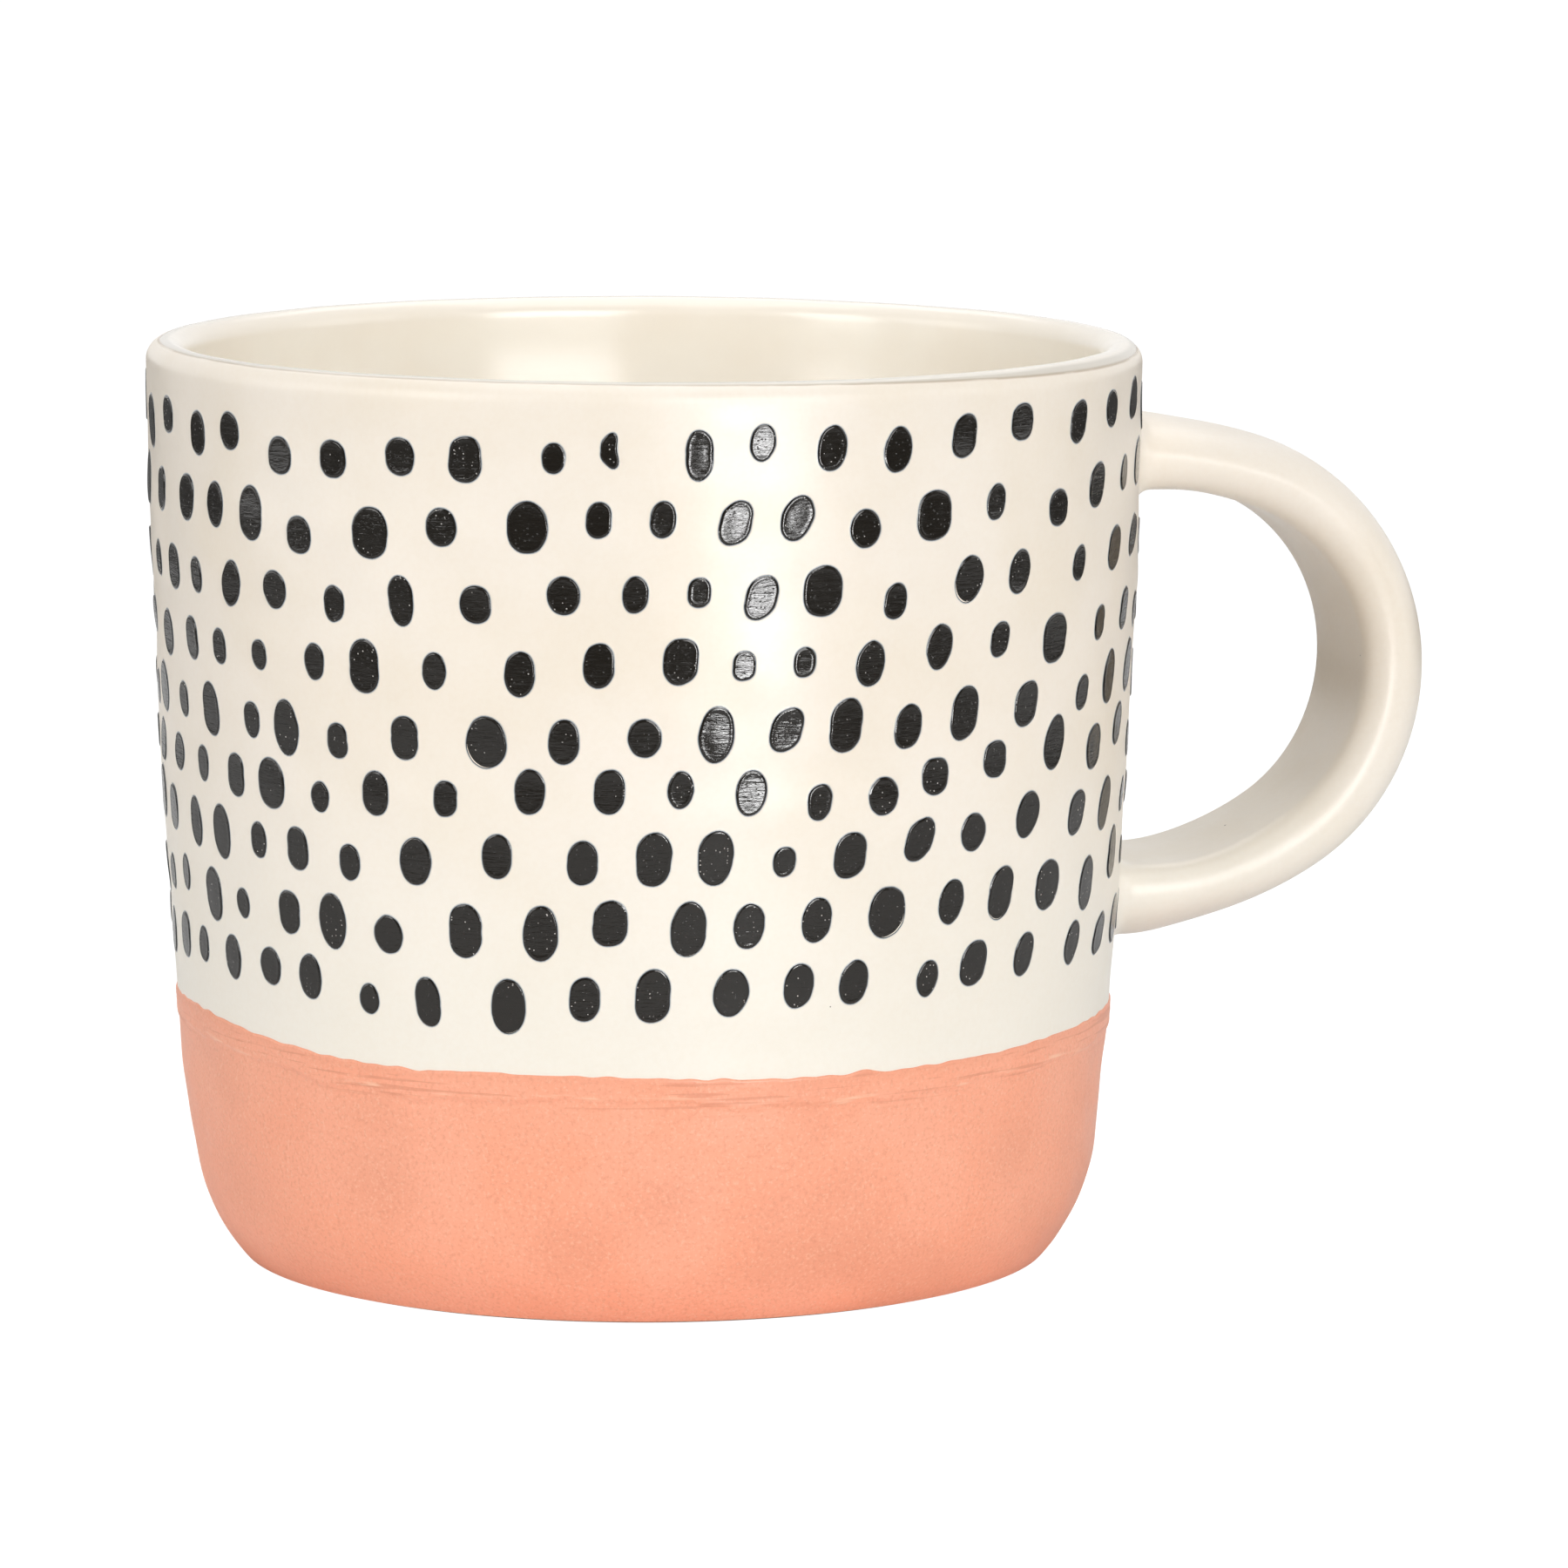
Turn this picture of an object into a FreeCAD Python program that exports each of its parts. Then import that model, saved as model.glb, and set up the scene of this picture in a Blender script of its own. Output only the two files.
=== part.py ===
"""A hand-decorated stoneware mug: clay body, pulled handle, glazes, dipped band and rows of glaze dots.

Millimetres, +Z up. The origin is the centre of the foot ring, on the plane that the mug stands on,
and the handle lies along +X.
"""

import FreeCAD, Part
import Sketcher
import math
import os
import random

SIZES = {
    # the glazed outside of the wall, from the foot up
    "foot_radius": 38.6,
    "foot_angle": 43.4,  # how far the heel has turned under where it meets the table
    "heel_angle": 5.7,  # and where it hands over to the wall
    "heel_curve": 17.9,
    "band_radius": 44.75,
    "band_height": 24.5,
    "wall_curve": 880.0,
    "rim_radius": 47.5,
    "shoulder_height": 86.1,
    "lip_curve": 1.9,
    "seam_angle": 35.0,  # where the liner glaze, rolled over the lip, meets the outer glaze
    # the inside and the underside
    "floor_height": 6.5,
    "floor_radius": 30.4,
    "inner_curve": 9.0,
    "inner_angle": 5.0,
    "recess_radius": 33.6,
    "recess_draft": 0.6,
    "recess_depth": 1.5,
    # the coats
    "glaze": 0.4,
    "bare_angle": 42.2,  # the dipped band stops here, so that the foot stays bare
    "slip": 0.8,
    "dot_rise": 0.4,
    # the handle's centreline is three tangent arcs
    "handle_start": 42.0,
    "handle_height": 76.3,
    "handle_lead": 3.5,
    "upper_curve": 42.7,
    "upper_turn": 19.6,
    "grip_curve": 19.7,
    "grip_turn": 127.4,
    "lower_curve": 32.7,
    "lower_turn": 37.4,
    # its section is flat inside, with round corners, and a half oval outside
    "handle_width": 18.6,
    "inner_upper": 2.55,  # depth from the centreline to the inner face, at the upper root
    "inner_grip": 2.6,
    "inner_lower": 1.95,
    "outer_upper": 2.55,
    "outer_grip": 4.05,
    "outer_lower": 3.75,
    "root_flare": 0.5,
    "root_flare_length": 4.0,
    # the rows of dots, from the top one down, and how they wander
    "row_1_height": 81.7,
    "row_2_height": 75.3,
    "row_3_height": 68.4,
    "row_4_height": 62.2,
    "row_5_height": 55.9,
    "row_6_height": 50.4,
    "row_7_height": 44.6,
    "row_8_height": 38.2,
    "row_9_height": 32.0,
    "row_wave": 0.9,
    "row_wave_start": 7.0,
    "row_lean": 12.0,  # how far the dots lean out at the sides, in degrees
    "nudge": 0.7,
    "dot_facing": -103.0,  # azimuth that a row is counted from, to the left and to the right
    "dot_gap": 1.0,  # left clear between a dot and the handle's roots
    "dot_cut_start": 40.0,  # radii between which a dot's outline is pushed through the wall
    "dot_cut_end": 50.0,
}

# width, height and lean of each kind of dot: the lean is in degrees, to the right
DOT_KINDS = {
    "a": (2.1, 2.8, 5),
    "b": (2.3, 3.4, 6),
    "c": (3.0, 3.5, 0),
    "d": (2.8, 4.2, 6),
    "e": (2.5, 4.8, 0),
    "f": (3.2, 4.4, 8),
    "g": (3.8, 4.8, 4),
    "h": (3.2, 5.2, 5),
    "r": (2.9, 4.3, 20),
    "m": (3.0, 3.5, 0),
}
HALF_MOON = "m"

# Each row as a potter would note it: degrees round from the facing direction, the kind of dot, and
# a + or a - for each nudge up or down.
DOT_ROWS = (
    "-78h- -70c+ -61d -54c+ -45c- -37c- -28c -20f -10a -3m+ 6e 13b+ 21d 29d- 38d 47c+ 58d 67c+ 76r++",
    "-82h -73r -64f -57d -50h -42c-- -32g- -23c -13g -5b+ 2b+ 10r 17r 25c-- 34g- 43b 54c-- 63f 72b+ 80g++",
    "-76b -69f -62b -54r -46c -37b- -28e -19c -9c+ -1b+ 6a+ 13r 20g 29b-- 39f 47d 59b 69f+ 78r++",
    "-82c -73f- -64d -57b -49a -40b -33h -24b -14d -5d+ 4f+ 11a 18a 26d- 35d 44b 54g- 65b 74d+",
    "-77g -68b -60h -51b -45h -37b- -28d -18g -9d 0c 8h 16r 23h 31d- 39h 49f 61b 69h+ 78h++",
    "-80d -71c -63b -55d -48g -40a- -32d -23b -13d+ -4d+ 4b+ 12d 20b-- 28c-- 35c 44c+ 55h++ 65f 74r++",
    "-75f -66e -59h -51b -44d -36b- -27f -17d+ -7d 1h 8h 16a- 24f- 33r 41c 50f+ 61f 70h 80b",
    "-78b -71b+ -62h -55a -46d -39h -31c- -21h -12h -4f+ 5h 12d 20d 29g 38d 46h 55g 65h- 75h++",
    "-73f+ -66b+ -58d+ -50c+ -43d+ -34a- -26e- -16h- -7d 1h 10f 18d 25d 35b- 42f 51d 62d 71r",
)
DOT_STEP = 8.6
STEP_SPREAD = 1.0
DOT_SEED = 7
KINDS_BEHIND = "abbcccddddefffghr"

HANDLE_ARCS = ("upper", "grip", "lower")
# where the handle's sections are drawn, counted in arcs: 1.5 is half way round the grip
HANDLE_STATIONS = (0, 0.5, 1, 1.14, 1.3, 1.46, 1.62, 1.78, 1.92, 2, 2.3, 2.65, 3)

document = FreeCAD.newDocument("mug")
sheet = document.addObject("Spreadsheet::Sheet", "sizes")
for row, (alias, number) in enumerate(SIZES.items(), start=1):
    sheet.set(f"A{row}", str(number))
    sheet.setAlias(f"A{row}", alias)
document.recompute()


class Size:
    """A number together with the spreadsheet expression that gives it."""

    def __init__(self, value, text):
        self.value = value
        self.text = text

    def __add__(self, other):
        other = as_size(other)
        return Size(self.value + other.value, f"({self.text} + {other.text})")

    def __sub__(self, other):
        other = as_size(other)
        return Size(self.value - other.value, f"({self.text} - {other.text})")

    def __mul__(self, other):
        other = as_size(other)
        return Size(self.value * other.value, f"({self.text} * {other.text})")


def as_size(number):
    if isinstance(number, Size):
        return number
    return Size(float(number), f"({float(number):.6f})")


def sine(angle):
    return Size(math.sin(math.radians(angle.value)), f"sin({angle.text})")


def cosine(angle):
    return Size(math.cos(math.radians(angle.value)), f"cos({angle.text})")


size = {alias: Size(sheet.get(alias), f"sizes.{alias}") for alias in SIZES}
zero = as_size(0)


# sketches


def new_sketch(body, name, role):
    planes = body.Origin.OriginFeatures
    sketch = body.newObject("Sketcher::SketchObject", name)
    sketch.AttachmentSupport = [(next(plane for plane in planes if plane.Role == role), "")]
    sketch.MapMode = "FlatFace"
    return sketch


def bind(sketch, kind, *reference, formula):
    index = sketch.addConstraint(Sketcher.Constraint(kind, *reference, formula.value))
    sketch.setExpression(f"Constraints[{index}]", formula.text)


def arc_between(start, finish, curve):
    """The short arc from start to finish: counter-clockwise if curve is positive, else clockwise."""
    chord = finish - start
    to_centre = math.sqrt(max(curve**2 - chord.Length**2 / 4, 0.0))
    side = FreeCAD.Vector(-chord.y, chord.x, 0).normalize() * math.copysign(to_centre, curve)
    centre = (start + finish) / 2 + side
    ends = (start, finish) if curve > 0 else (finish, start)
    angles = [math.atan2(point.y - centre.y, point.x - centre.x) for point in ends]
    circle = Part.Circle(centre, FreeCAD.Vector(0, 0, 1), abs(curve))
    return Part.ArcOfCircle(circle, *angles)


def draw_outline(sketch, corners):
    """Draw a closed outline of corners (x, z, edge) and bind it to the sheet.

    The edge that leaves a corner is None where it is straight, or a pair of its radius and its
    turn, which is 1 for a counter-clockwise arc and -1 for a clockwise one.
    """
    points = [FreeCAD.Vector(x.value, z.value, 0) for x, z, edge in corners]
    ends = []
    for index, (x, z, edge) in enumerate(corners):
        start = points[index]
        finish = points[(index + 1) % len(points)]
        if edge is None:
            sketch.addGeometry(Part.LineSegment(start, finish))
            ends.append((1, 2))
        else:
            curve, turn = edge
            sketch.addGeometry(arc_between(start, finish, curve.value * turn))
            ends.append((1, 2) if turn > 0 else (2, 1))
    for index in range(len(corners)):
        following = (index + 1) % len(corners)
        joined = (index, ends[index][1], following, ends[following][0])
        sketch.addConstraint(Sketcher.Constraint("Coincident", *joined))
    for index, (x, z, edge) in enumerate(corners):
        start = ends[index][0]
        if x.value == 0.0:
            sketch.addConstraint(Sketcher.Constraint("PointOnObject", index, start, -2))
        else:
            bind(sketch, "DistanceX", -1, 1, index, start, formula=x)
        if z.value == 0.0:
            sketch.addConstraint(Sketcher.Constraint("PointOnObject", index, start, -1))
        else:
            bind(sketch, "DistanceY", -1, 1, index, start, formula=z)
        if edge is not None:
            bind(sketch, "Radius", index, formula=edge[0])


def new_body(label):
    body = document.addObject("PartDesign::Body", label)
    body.Label = label
    return body


def turn_outline(body, kind, name, corners):
    """A PartDesign Revolution or Groove of an outline about the mug's axis."""
    sketch = new_sketch(body, f"{name}_outline", "XZ_Plane")
    draw_outline(sketch, corners)
    feature = body.newObject(f"PartDesign::{kind}", name)
    feature.Profile = sketch
    feature.ReferenceAxis = (sketch, ["V_Axis"])
    feature.Angle = 360
    return feature


# the wall's outline, at a depth below the glazed surface


def heel_point(angle, depth):
    """A point of the heel's arc, by how far the arc has turned under."""
    curve = size["heel_curve"] - depth
    x = size["foot_radius"] - size["heel_curve"] * cosine(size["foot_angle"]) + curve * cosine(angle)
    z = size["heel_curve"] * sine(size["foot_angle"]) - curve * sine(angle)
    return x, z


def band_point(depth):
    return size["band_radius"] - depth, size["band_height"]


def shoulder_point(depth):
    return size["rim_radius"] - depth, size["shoulder_height"]


def seam_point(depth):
    curve = size["lip_curve"] - depth
    x = size["rim_radius"] - size["lip_curve"] + curve * cosine(size["seam_angle"])
    return x, size["shoulder_height"] + curve * sine(size["seam_angle"])


def crown_point(depth):
    return size["rim_radius"] - size["lip_curve"], size["shoulder_height"] + size["lip_curve"] - depth


def inner_lip_point(depth):
    return size["rim_radius"] - size["lip_curve"] * 2 + depth, size["shoulder_height"]


def inner_heel_point(depth):
    curve = size["inner_curve"] + depth
    x = size["floor_radius"] + curve * cosine(size["inner_angle"])
    return x, size["floor_height"] + size["inner_curve"] - curve * sine(size["inner_angle"])


def floor_edge_point(depth):
    return size["floor_radius"], size["floor_height"] - depth


def floor_centre_point(depth):
    return zero, size["floor_height"] - depth


def heel_arc(depth, turn):
    return size["heel_curve"] - depth, turn


def wall_arc(turn):
    return size["wall_curve"], turn


def lip_arc(depth, turn):
    return size["lip_curve"] - depth, turn


def inner_arc(depth, turn):
    return size["inner_curve"] + depth, turn


# the clay body


def make_mug_body():
    body = new_body("mug_body")
    coat = size["glaze"]
    corners = [
        (zero, size["recess_depth"], None),
        (size["recess_radius"], size["recess_depth"], None),
        (size["recess_radius"] + size["recess_draft"], zero, None),
        (size["foot_radius"] - coat, zero, None),
        (*heel_point(size["foot_angle"], coat), heel_arc(coat, 1)),
        (*heel_point(size["heel_angle"], coat), wall_arc(1)),
        (*band_point(coat), wall_arc(1)),
        (*shoulder_point(coat), lip_arc(coat, 1)),
        (*crown_point(coat), lip_arc(coat, 1)),
        (*inner_lip_point(coat), wall_arc(-1)),
        (*inner_heel_point(coat), inner_arc(coat, -1)),
        (*floor_edge_point(coat), None),
        (*floor_centre_point(coat), None),
    ]
    turn_outline(body, "Revolution", "thrown_wall", corners)
    return body


# the glazes on the wall


def make_liner_glaze():
    body = new_body("liner_glaze")
    coat = size["glaze"]
    corners = [
        (*floor_centre_point(coat), None),
        (*floor_edge_point(coat), inner_arc(coat, 1)),
        (*inner_heel_point(coat), wall_arc(1)),
        (*inner_lip_point(coat), lip_arc(coat, -1)),
        (*crown_point(coat), lip_arc(coat, -1)),
        (*seam_point(coat), None),
        (*seam_point(zero), lip_arc(zero, 1)),
        (*crown_point(zero), lip_arc(zero, 1)),
        (*inner_lip_point(zero), wall_arc(-1)),
        (*inner_heel_point(zero), inner_arc(zero, -1)),
        (*floor_edge_point(zero), None),
        (*floor_centre_point(zero), None),
    ]
    turn_outline(body, "Revolution", "poured_coat", corners)
    return body


def make_outer_glaze():
    body = new_body("outer_glaze")
    coat = size["glaze"]
    corners = [
        (*band_point(coat), None),
        (*band_point(zero), wall_arc(1)),
        (*shoulder_point(zero), lip_arc(zero, 1)),
        (*seam_point(zero), None),
        (*seam_point(coat), lip_arc(coat, -1)),
        (*shoulder_point(coat), wall_arc(-1)),
    ]
    turn_outline(body, "Revolution", "dipped_coat", corners)
    loft_handle(body, "Subtractive", "handle_roots", zero)
    return body


def make_coral_band():
    body = new_body("coral_band")
    coat = size["glaze"]
    corners = [
        (*heel_point(size["bare_angle"], coat), None),
        (*heel_point(size["bare_angle"], zero), heel_arc(zero, 1)),
        (*heel_point(size["heel_angle"], zero), wall_arc(1)),
        (*band_point(zero), None),
        (*band_point(coat), wall_arc(-1)),
        (*heel_point(size["heel_angle"], coat), heel_arc(coat, -1)),
    ]
    turn_outline(body, "Revolution", "dipped_band", corners)
    return body


# the handle


def handle_station(place):
    """Centre, heading, and inner and outer depths of the handle at a place along it.

    The place counts the arcs: 1.5 is half way round the second one. The heading starts at 0,
    straight out from the wall, and grows as the handle bends down and back.
    """
    x = size["handle_start"] + size["handle_lead"]
    z = size["handle_height"]
    heading = zero
    length = 0.0
    travelled = 0.0
    for number, name in enumerate(HANDLE_ARCS):
        curve = size[f"{name}_curve"]
        turn = size[f"{name}_turn"]
        share = min(max(place - number, 0.0), 1.0)
        following = heading + turn * share
        x = x + curve * (sine(following) - sine(heading))
        z = z - curve * (cosine(heading) - cosine(following))
        travelled += math.radians(turn.value) * curve.value * share
        length += math.radians(turn.value) * curve.value
        heading = following
    along = travelled / length
    bulge = math.sin(math.pi * along)
    from_wall = max(x.value - size["rim_radius"].value, 0.0)
    flare = size["root_flare"] * math.exp(-((from_wall / size["root_flare_length"].value) ** 2))
    depths = []
    for side in ("inner", "outer"):
        depth = size[f"{side}_upper"] * (1 - along - bulge / 2)
        depth = depth + size[f"{side}_lower"] * (along - bulge / 2)
        depths.append(depth + size[f"{side}_grip"] * bulge + flare)
    return x, z, heading, *depths


def draw_section(body, name, x, z, heading, inner, outer, half_width):
    """The strap's section, square to its centreline: flat inside and a half oval outside."""
    sketch = new_sketch(body, name, "XY_Plane")
    tilt = heading + 90
    across = FreeCAD.Rotation(FreeCAD.Vector(0, 1, 0), tilt.value)
    sketch.AttachmentOffset = FreeCAD.Placement(FreeCAD.Vector(x.value, 0, z.value), across)
    sketch.setExpression("AttachmentOffset.Base.x", x.text)
    sketch.setExpression("AttachmentOffset.Base.z", z.text)
    sketch.setExpression("AttachmentOffset.Rotation.Angle", tilt.text)
    oval = Part.Ellipse(
        FreeCAD.Vector(0, half_width.value, 0),
        FreeCAD.Vector(-outer.value, 0, 0),
        FreeCAD.Vector(0, 0, 0),
    )
    sketch.addGeometry(Part.ArcOfEllipse(oval, 0, math.pi))
    flat = half_width.value - inner.value
    up = FreeCAD.Vector(0, 0, 1)
    low_corner = Part.Circle(FreeCAD.Vector(0, -flat, 0), up, inner.value)
    high_corner = Part.Circle(FreeCAD.Vector(0, flat, 0), up, inner.value)
    low = FreeCAD.Vector(inner.value, -flat, 0)
    high = FreeCAD.Vector(inner.value, flat, 0)
    sketch.addGeometry(Part.ArcOfCircle(low_corner, -math.pi / 2, 0))
    sketch.addGeometry(Part.LineSegment(low, high))
    sketch.addGeometry(Part.ArcOfCircle(high_corner, 0, math.pi / 2))
    sketch.exposeInternalGeometry(0)
    major, minor = 4, 5
    sketch.addConstraint(Sketcher.Constraint("Coincident", 0, 3, -1, 1))
    sketch.addConstraint(Sketcher.Constraint("Vertical", major))
    sketch.addConstraint(Sketcher.Constraint("PointOnObject", 0, 1, -2))
    sketch.addConstraint(Sketcher.Constraint("PointOnObject", 0, 2, -2))
    sketch.addConstraint(Sketcher.Constraint("Coincident", 0, 2, 1, 1))
    sketch.addConstraint(Sketcher.Constraint("Tangent", 1, 2, 2, 1))
    sketch.addConstraint(Sketcher.Constraint("Tangent", 2, 2, 3, 1))
    sketch.addConstraint(Sketcher.Constraint("Coincident", 3, 2, 0, 1))
    sketch.addConstraint(Sketcher.Constraint("Vertical", 2))
    sketch.addConstraint(Sketcher.Constraint("PointOnObject", 1, 3, -2))
    sketch.addConstraint(Sketcher.Constraint("PointOnObject", 3, 3, -2))
    bind(sketch, "Distance", major, formula=half_width * 2)
    bind(sketch, "Distance", minor, formula=outer * 2)
    bind(sketch, "Radius", 1, formula=inner)
    return sketch


def loft_handle(body, kind, name, coat):
    """Add the handle to a body, or cut it out, with a coat added all round."""
    half_width = size["handle_width"] * 0.5 + coat
    sections = []
    for number, place in enumerate((None, *HANDLE_STATIONS)):
        x, z, heading, inner, outer = handle_station(place or 0)
        if place is None:
            x = size["handle_start"]
        section = (x, z, heading, inner + coat, outer + coat, half_width)
        sections.append(draw_section(body, f"{name}_section_{number}", *section))
    loft = body.newObject(f"PartDesign::{kind}Loft", name)
    loft.Profile = sections[0]
    loft.Sections = [(sketch, "") for sketch in sections[1:]]
    return loft


def cut_inside(body, name, depth):
    """Cut away all that lies inside the wall, down to a depth below its glazed surface."""
    corners = [
        (zero, size["band_height"], None),
        (*band_point(depth), wall_arc(1)),
        (*shoulder_point(depth), None),
        (zero, size["shoulder_height"], None),
    ]
    turn_outline(body, "Groove", name, corners)


def make_handle():
    body = new_body("handle")
    loft_handle(body, "Additive", "pulled_strap", zero)
    cut_inside(body, "wall_end", size["glaze"] - size["slip"])
    return body


def make_handle_glaze():
    body = new_body("handle_glaze")
    loft_handle(body, "Additive", "glazed_strap", size["glaze"])
    loft_handle(body, "Subtractive", "strap_hollow", zero)
    cut_inside(body, "wall_end", zero)
    return body


def make_ring(label, inner, outer):
    """A coat all round the wall, between two depths below its glazed surface."""
    body = new_body(label)
    corners = [
        (*band_point(inner), None),
        (*band_point(outer), wall_arc(1)),
        (*shoulder_point(outer), None),
        (*shoulder_point(inner), wall_arc(-1)),
    ]
    turn_outline(body, "Revolution", f"{label}_coat", corners)
    return body


def make_slip_joints():
    """The two layers of slip between the handle's ends and the wall."""
    strap = new_body("whole_strap")
    loft_handle(strap, "Additive", "whole_strap_loft", zero)
    slip_coat = make_ring("slip_coat", size["glaze"], size["glaze"] - size["slip"])
    both = document.addObject("Part::Common", "both_slip_joints")
    both.Base = strap
    both.Tool = slip_coat
    joints = []
    half_height = (size["shoulder_height"] - size["band_height"]) * 0.5
    for label, base in (
        ("upper_slip_joint", size["band_height"] + half_height),
        ("lower_slip_joint", size["band_height"]),
    ):
        half = document.addObject("Part::Box", f"{label}_half")
        half.setExpression("Length", (size["rim_radius"] * 2).text)
        half.setExpression("Width", size["rim_radius"].text)
        half.setExpression("Height", half_height.text)
        half.setExpression("Placement.Base.y", (size["rim_radius"] * -0.5).text)
        half.setExpression("Placement.Base.z", base.text)
        joint = document.addObject("Part::Common", label)
        joint.Label = label
        joint.Base = both
        joint.Tool = half
        joints.append(joint)
    return joints


# the rows of dots


def handle_root_heights():
    """Where the handle's centreline meets the wall, above and below."""
    return [handle_station(place)[1].value for place in (0, len(HANDLE_ARCS))]


def clear_of_roots(azimuth, height, width, tall):
    """Whether a dot of this size stays off both of the handle's roots."""
    across = math.radians(azimuth) * size["rim_radius"].value
    gap = size["dot_gap"].value + size["glaze"].value
    reach = size["handle_width"].value / 2 + width / 2 + gap
    thick = size["outer_lower"].value + size["root_flare"].value + tall / 2 + gap
    rises = [height - root for root in handle_root_heights()]
    return all(math.hypot(across / reach, rise / thick) > 1 for rise in rises)


def read_row(notation, generator):
    """The dots of one row, all the way round: their angle, kind and nudge."""
    dots = []
    for word in notation.split():
        letter = word.rstrip("+-")[-1]
        nudge = word.count("+") - word[1:].count("-")
        dots.append((float(word.rstrip("+-")[:-1]), letter, nudge))
    angle = dots[-1][0] + DOT_STEP
    closing = dots[0][0] + 360 - DOT_STEP / 2
    while angle < closing:
        dots.append((angle, generator.choice(KINDS_BEHIND), generator.choice((-1, 0, 0, 1))))
        angle += DOT_STEP + generator.uniform(-STEP_SPREAD, STEP_SPREAD)
    return dots


def dot_prism(azimuth, height, width, tall, lean, half_moon):
    """The dot's oval, or its left half, pushed out through the wall's surface."""
    outward = FreeCAD.Vector(math.cos(azimuth), math.sin(azimuth), 0)
    up = FreeCAD.Vector(0, 0, 1)
    right = up.cross(outward)
    along = up * math.cos(lean) + right * math.sin(lean)
    across = right * math.cos(lean) - up * math.sin(lean)
    start = size["dot_cut_start"].value
    centre = outward * start + up * height
    oval = Part.Ellipse(centre + along * (tall / 2), centre + across * (width / 2), centre)
    if half_moon:
        edge = Part.ArcOfEllipse(oval, math.pi, 2 * math.pi).toShape()
        chord = Part.makeLine(edge.lastVertex().Point, edge.firstVertex().Point)
        outline = Part.Wire([edge, chord])
    else:
        outline = Part.Wire(oval.toShape())
    return Part.Face(outline).extrude(outward * (size["dot_cut_end"].value - start))


def make_dot_rows():
    dot_coat = make_ring("dot_coat", zero, zero - size["dot_rise"])
    document.recompute()
    rows = []
    for number, notation in enumerate(DOT_ROWS, start=1):
        generator = random.Random(DOT_SEED * number)
        prisms = []
        for angle, letter, nudge in read_row(notation, generator):
            width, tall, lean = DOT_KINDS[letter]
            wave = math.sin(math.radians(2 * (angle - size["row_wave_start"].value)))
            height = size[f"row_{number}_height"].value + size["row_wave"].value * wave
            height += size["nudge"].value * nudge
            azimuth = (angle + size["dot_facing"].value + 180) % 360 - 180
            if not clear_of_roots(azimuth, height, width, tall):
                continue
            lean += size["row_lean"].value * math.sin(math.radians(angle))
            place = (math.radians(azimuth), height)
            prisms.append(dot_prism(*place, width, tall, math.radians(lean), letter == HALF_MOON))
        row = document.addObject("Part::Feature", f"dot_row_{number}")
        row.Label = f"dot_row_{number}"
        row.Shape = Part.makeCompound(dot_coat.Shape.common(Part.makeCompound(prisms)).Solids)
        if len(row.Shape.Solids) != len(prisms):
            raise RuntimeError(f"{row.Label} has {len(row.Shape.Solids)} dots, not {len(prisms)}")
        rows.append(row)
    return rows


def check(sub_parts):
    for item in document.Objects:
        if "Invalid" in item.State or "Error" in item.State:
            raise RuntimeError(f"{item.Label} failed: {item.State}")
    for sub_part in sub_parts:
        if sub_part.Shape.isNull() or not sub_part.Shape.isValid():
            raise RuntimeError(f"{sub_part.Label} has no valid shape")


def write(sub_parts):
    os.makedirs("parts", exist_ok=True)
    for sub_part in sub_parts:
        shape = sub_part.Shape
        shape.exportStep(os.path.join("parts", f"{sub_part.Label}.step"))
        print(f"{sub_part.Label}: {len(shape.Solids)} solids, {shape.Volume:.0f} mm3")


sub_parts = [
    make_mug_body(),
    make_handle(),
    make_liner_glaze(),
    make_outer_glaze(),
    make_handle_glaze(),
    make_coral_band(),
    *make_slip_joints(),
    *make_dot_rows(),
]
document.recompute()
check(sub_parts)
write(sub_parts)
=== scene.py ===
"""The looks of a hand-decorated stoneware mug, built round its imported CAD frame.

Shapes are worked out in millimetres, +Z up, and become metres when a mesh is made. An azimuth is
measured in degrees from +X, where the handle is, towards +Y.
"""

import math

import bpy
import numpy as np
from mathutils import Matrix, Vector


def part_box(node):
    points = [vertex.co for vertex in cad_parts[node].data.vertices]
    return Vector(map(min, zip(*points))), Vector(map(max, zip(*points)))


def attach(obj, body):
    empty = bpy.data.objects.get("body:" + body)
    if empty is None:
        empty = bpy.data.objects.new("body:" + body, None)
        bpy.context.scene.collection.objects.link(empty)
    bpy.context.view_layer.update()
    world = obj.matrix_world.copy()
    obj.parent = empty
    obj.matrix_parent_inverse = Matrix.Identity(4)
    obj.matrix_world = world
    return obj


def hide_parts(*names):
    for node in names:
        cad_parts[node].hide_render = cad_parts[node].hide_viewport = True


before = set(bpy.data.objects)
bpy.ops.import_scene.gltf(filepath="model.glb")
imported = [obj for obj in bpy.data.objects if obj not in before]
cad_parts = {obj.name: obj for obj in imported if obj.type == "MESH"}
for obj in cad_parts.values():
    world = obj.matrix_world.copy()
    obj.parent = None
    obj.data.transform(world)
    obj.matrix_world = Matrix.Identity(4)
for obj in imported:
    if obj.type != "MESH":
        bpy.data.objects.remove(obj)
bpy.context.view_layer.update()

MM = 0.001
AROUND = 720  # points round the mug's wall
FACING = -103.0  # azimuth of the wall that faces the camera
COAT = 0.4  # the glazes' even thickness in the CAD


def largest(node, axis):
    """A node's highest coordinate on one axis, in millimetres."""
    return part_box(node)[1][axis] / MM


# the glazed outline, from the foot up the outside, over the lip and down to the middle of the floor

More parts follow.
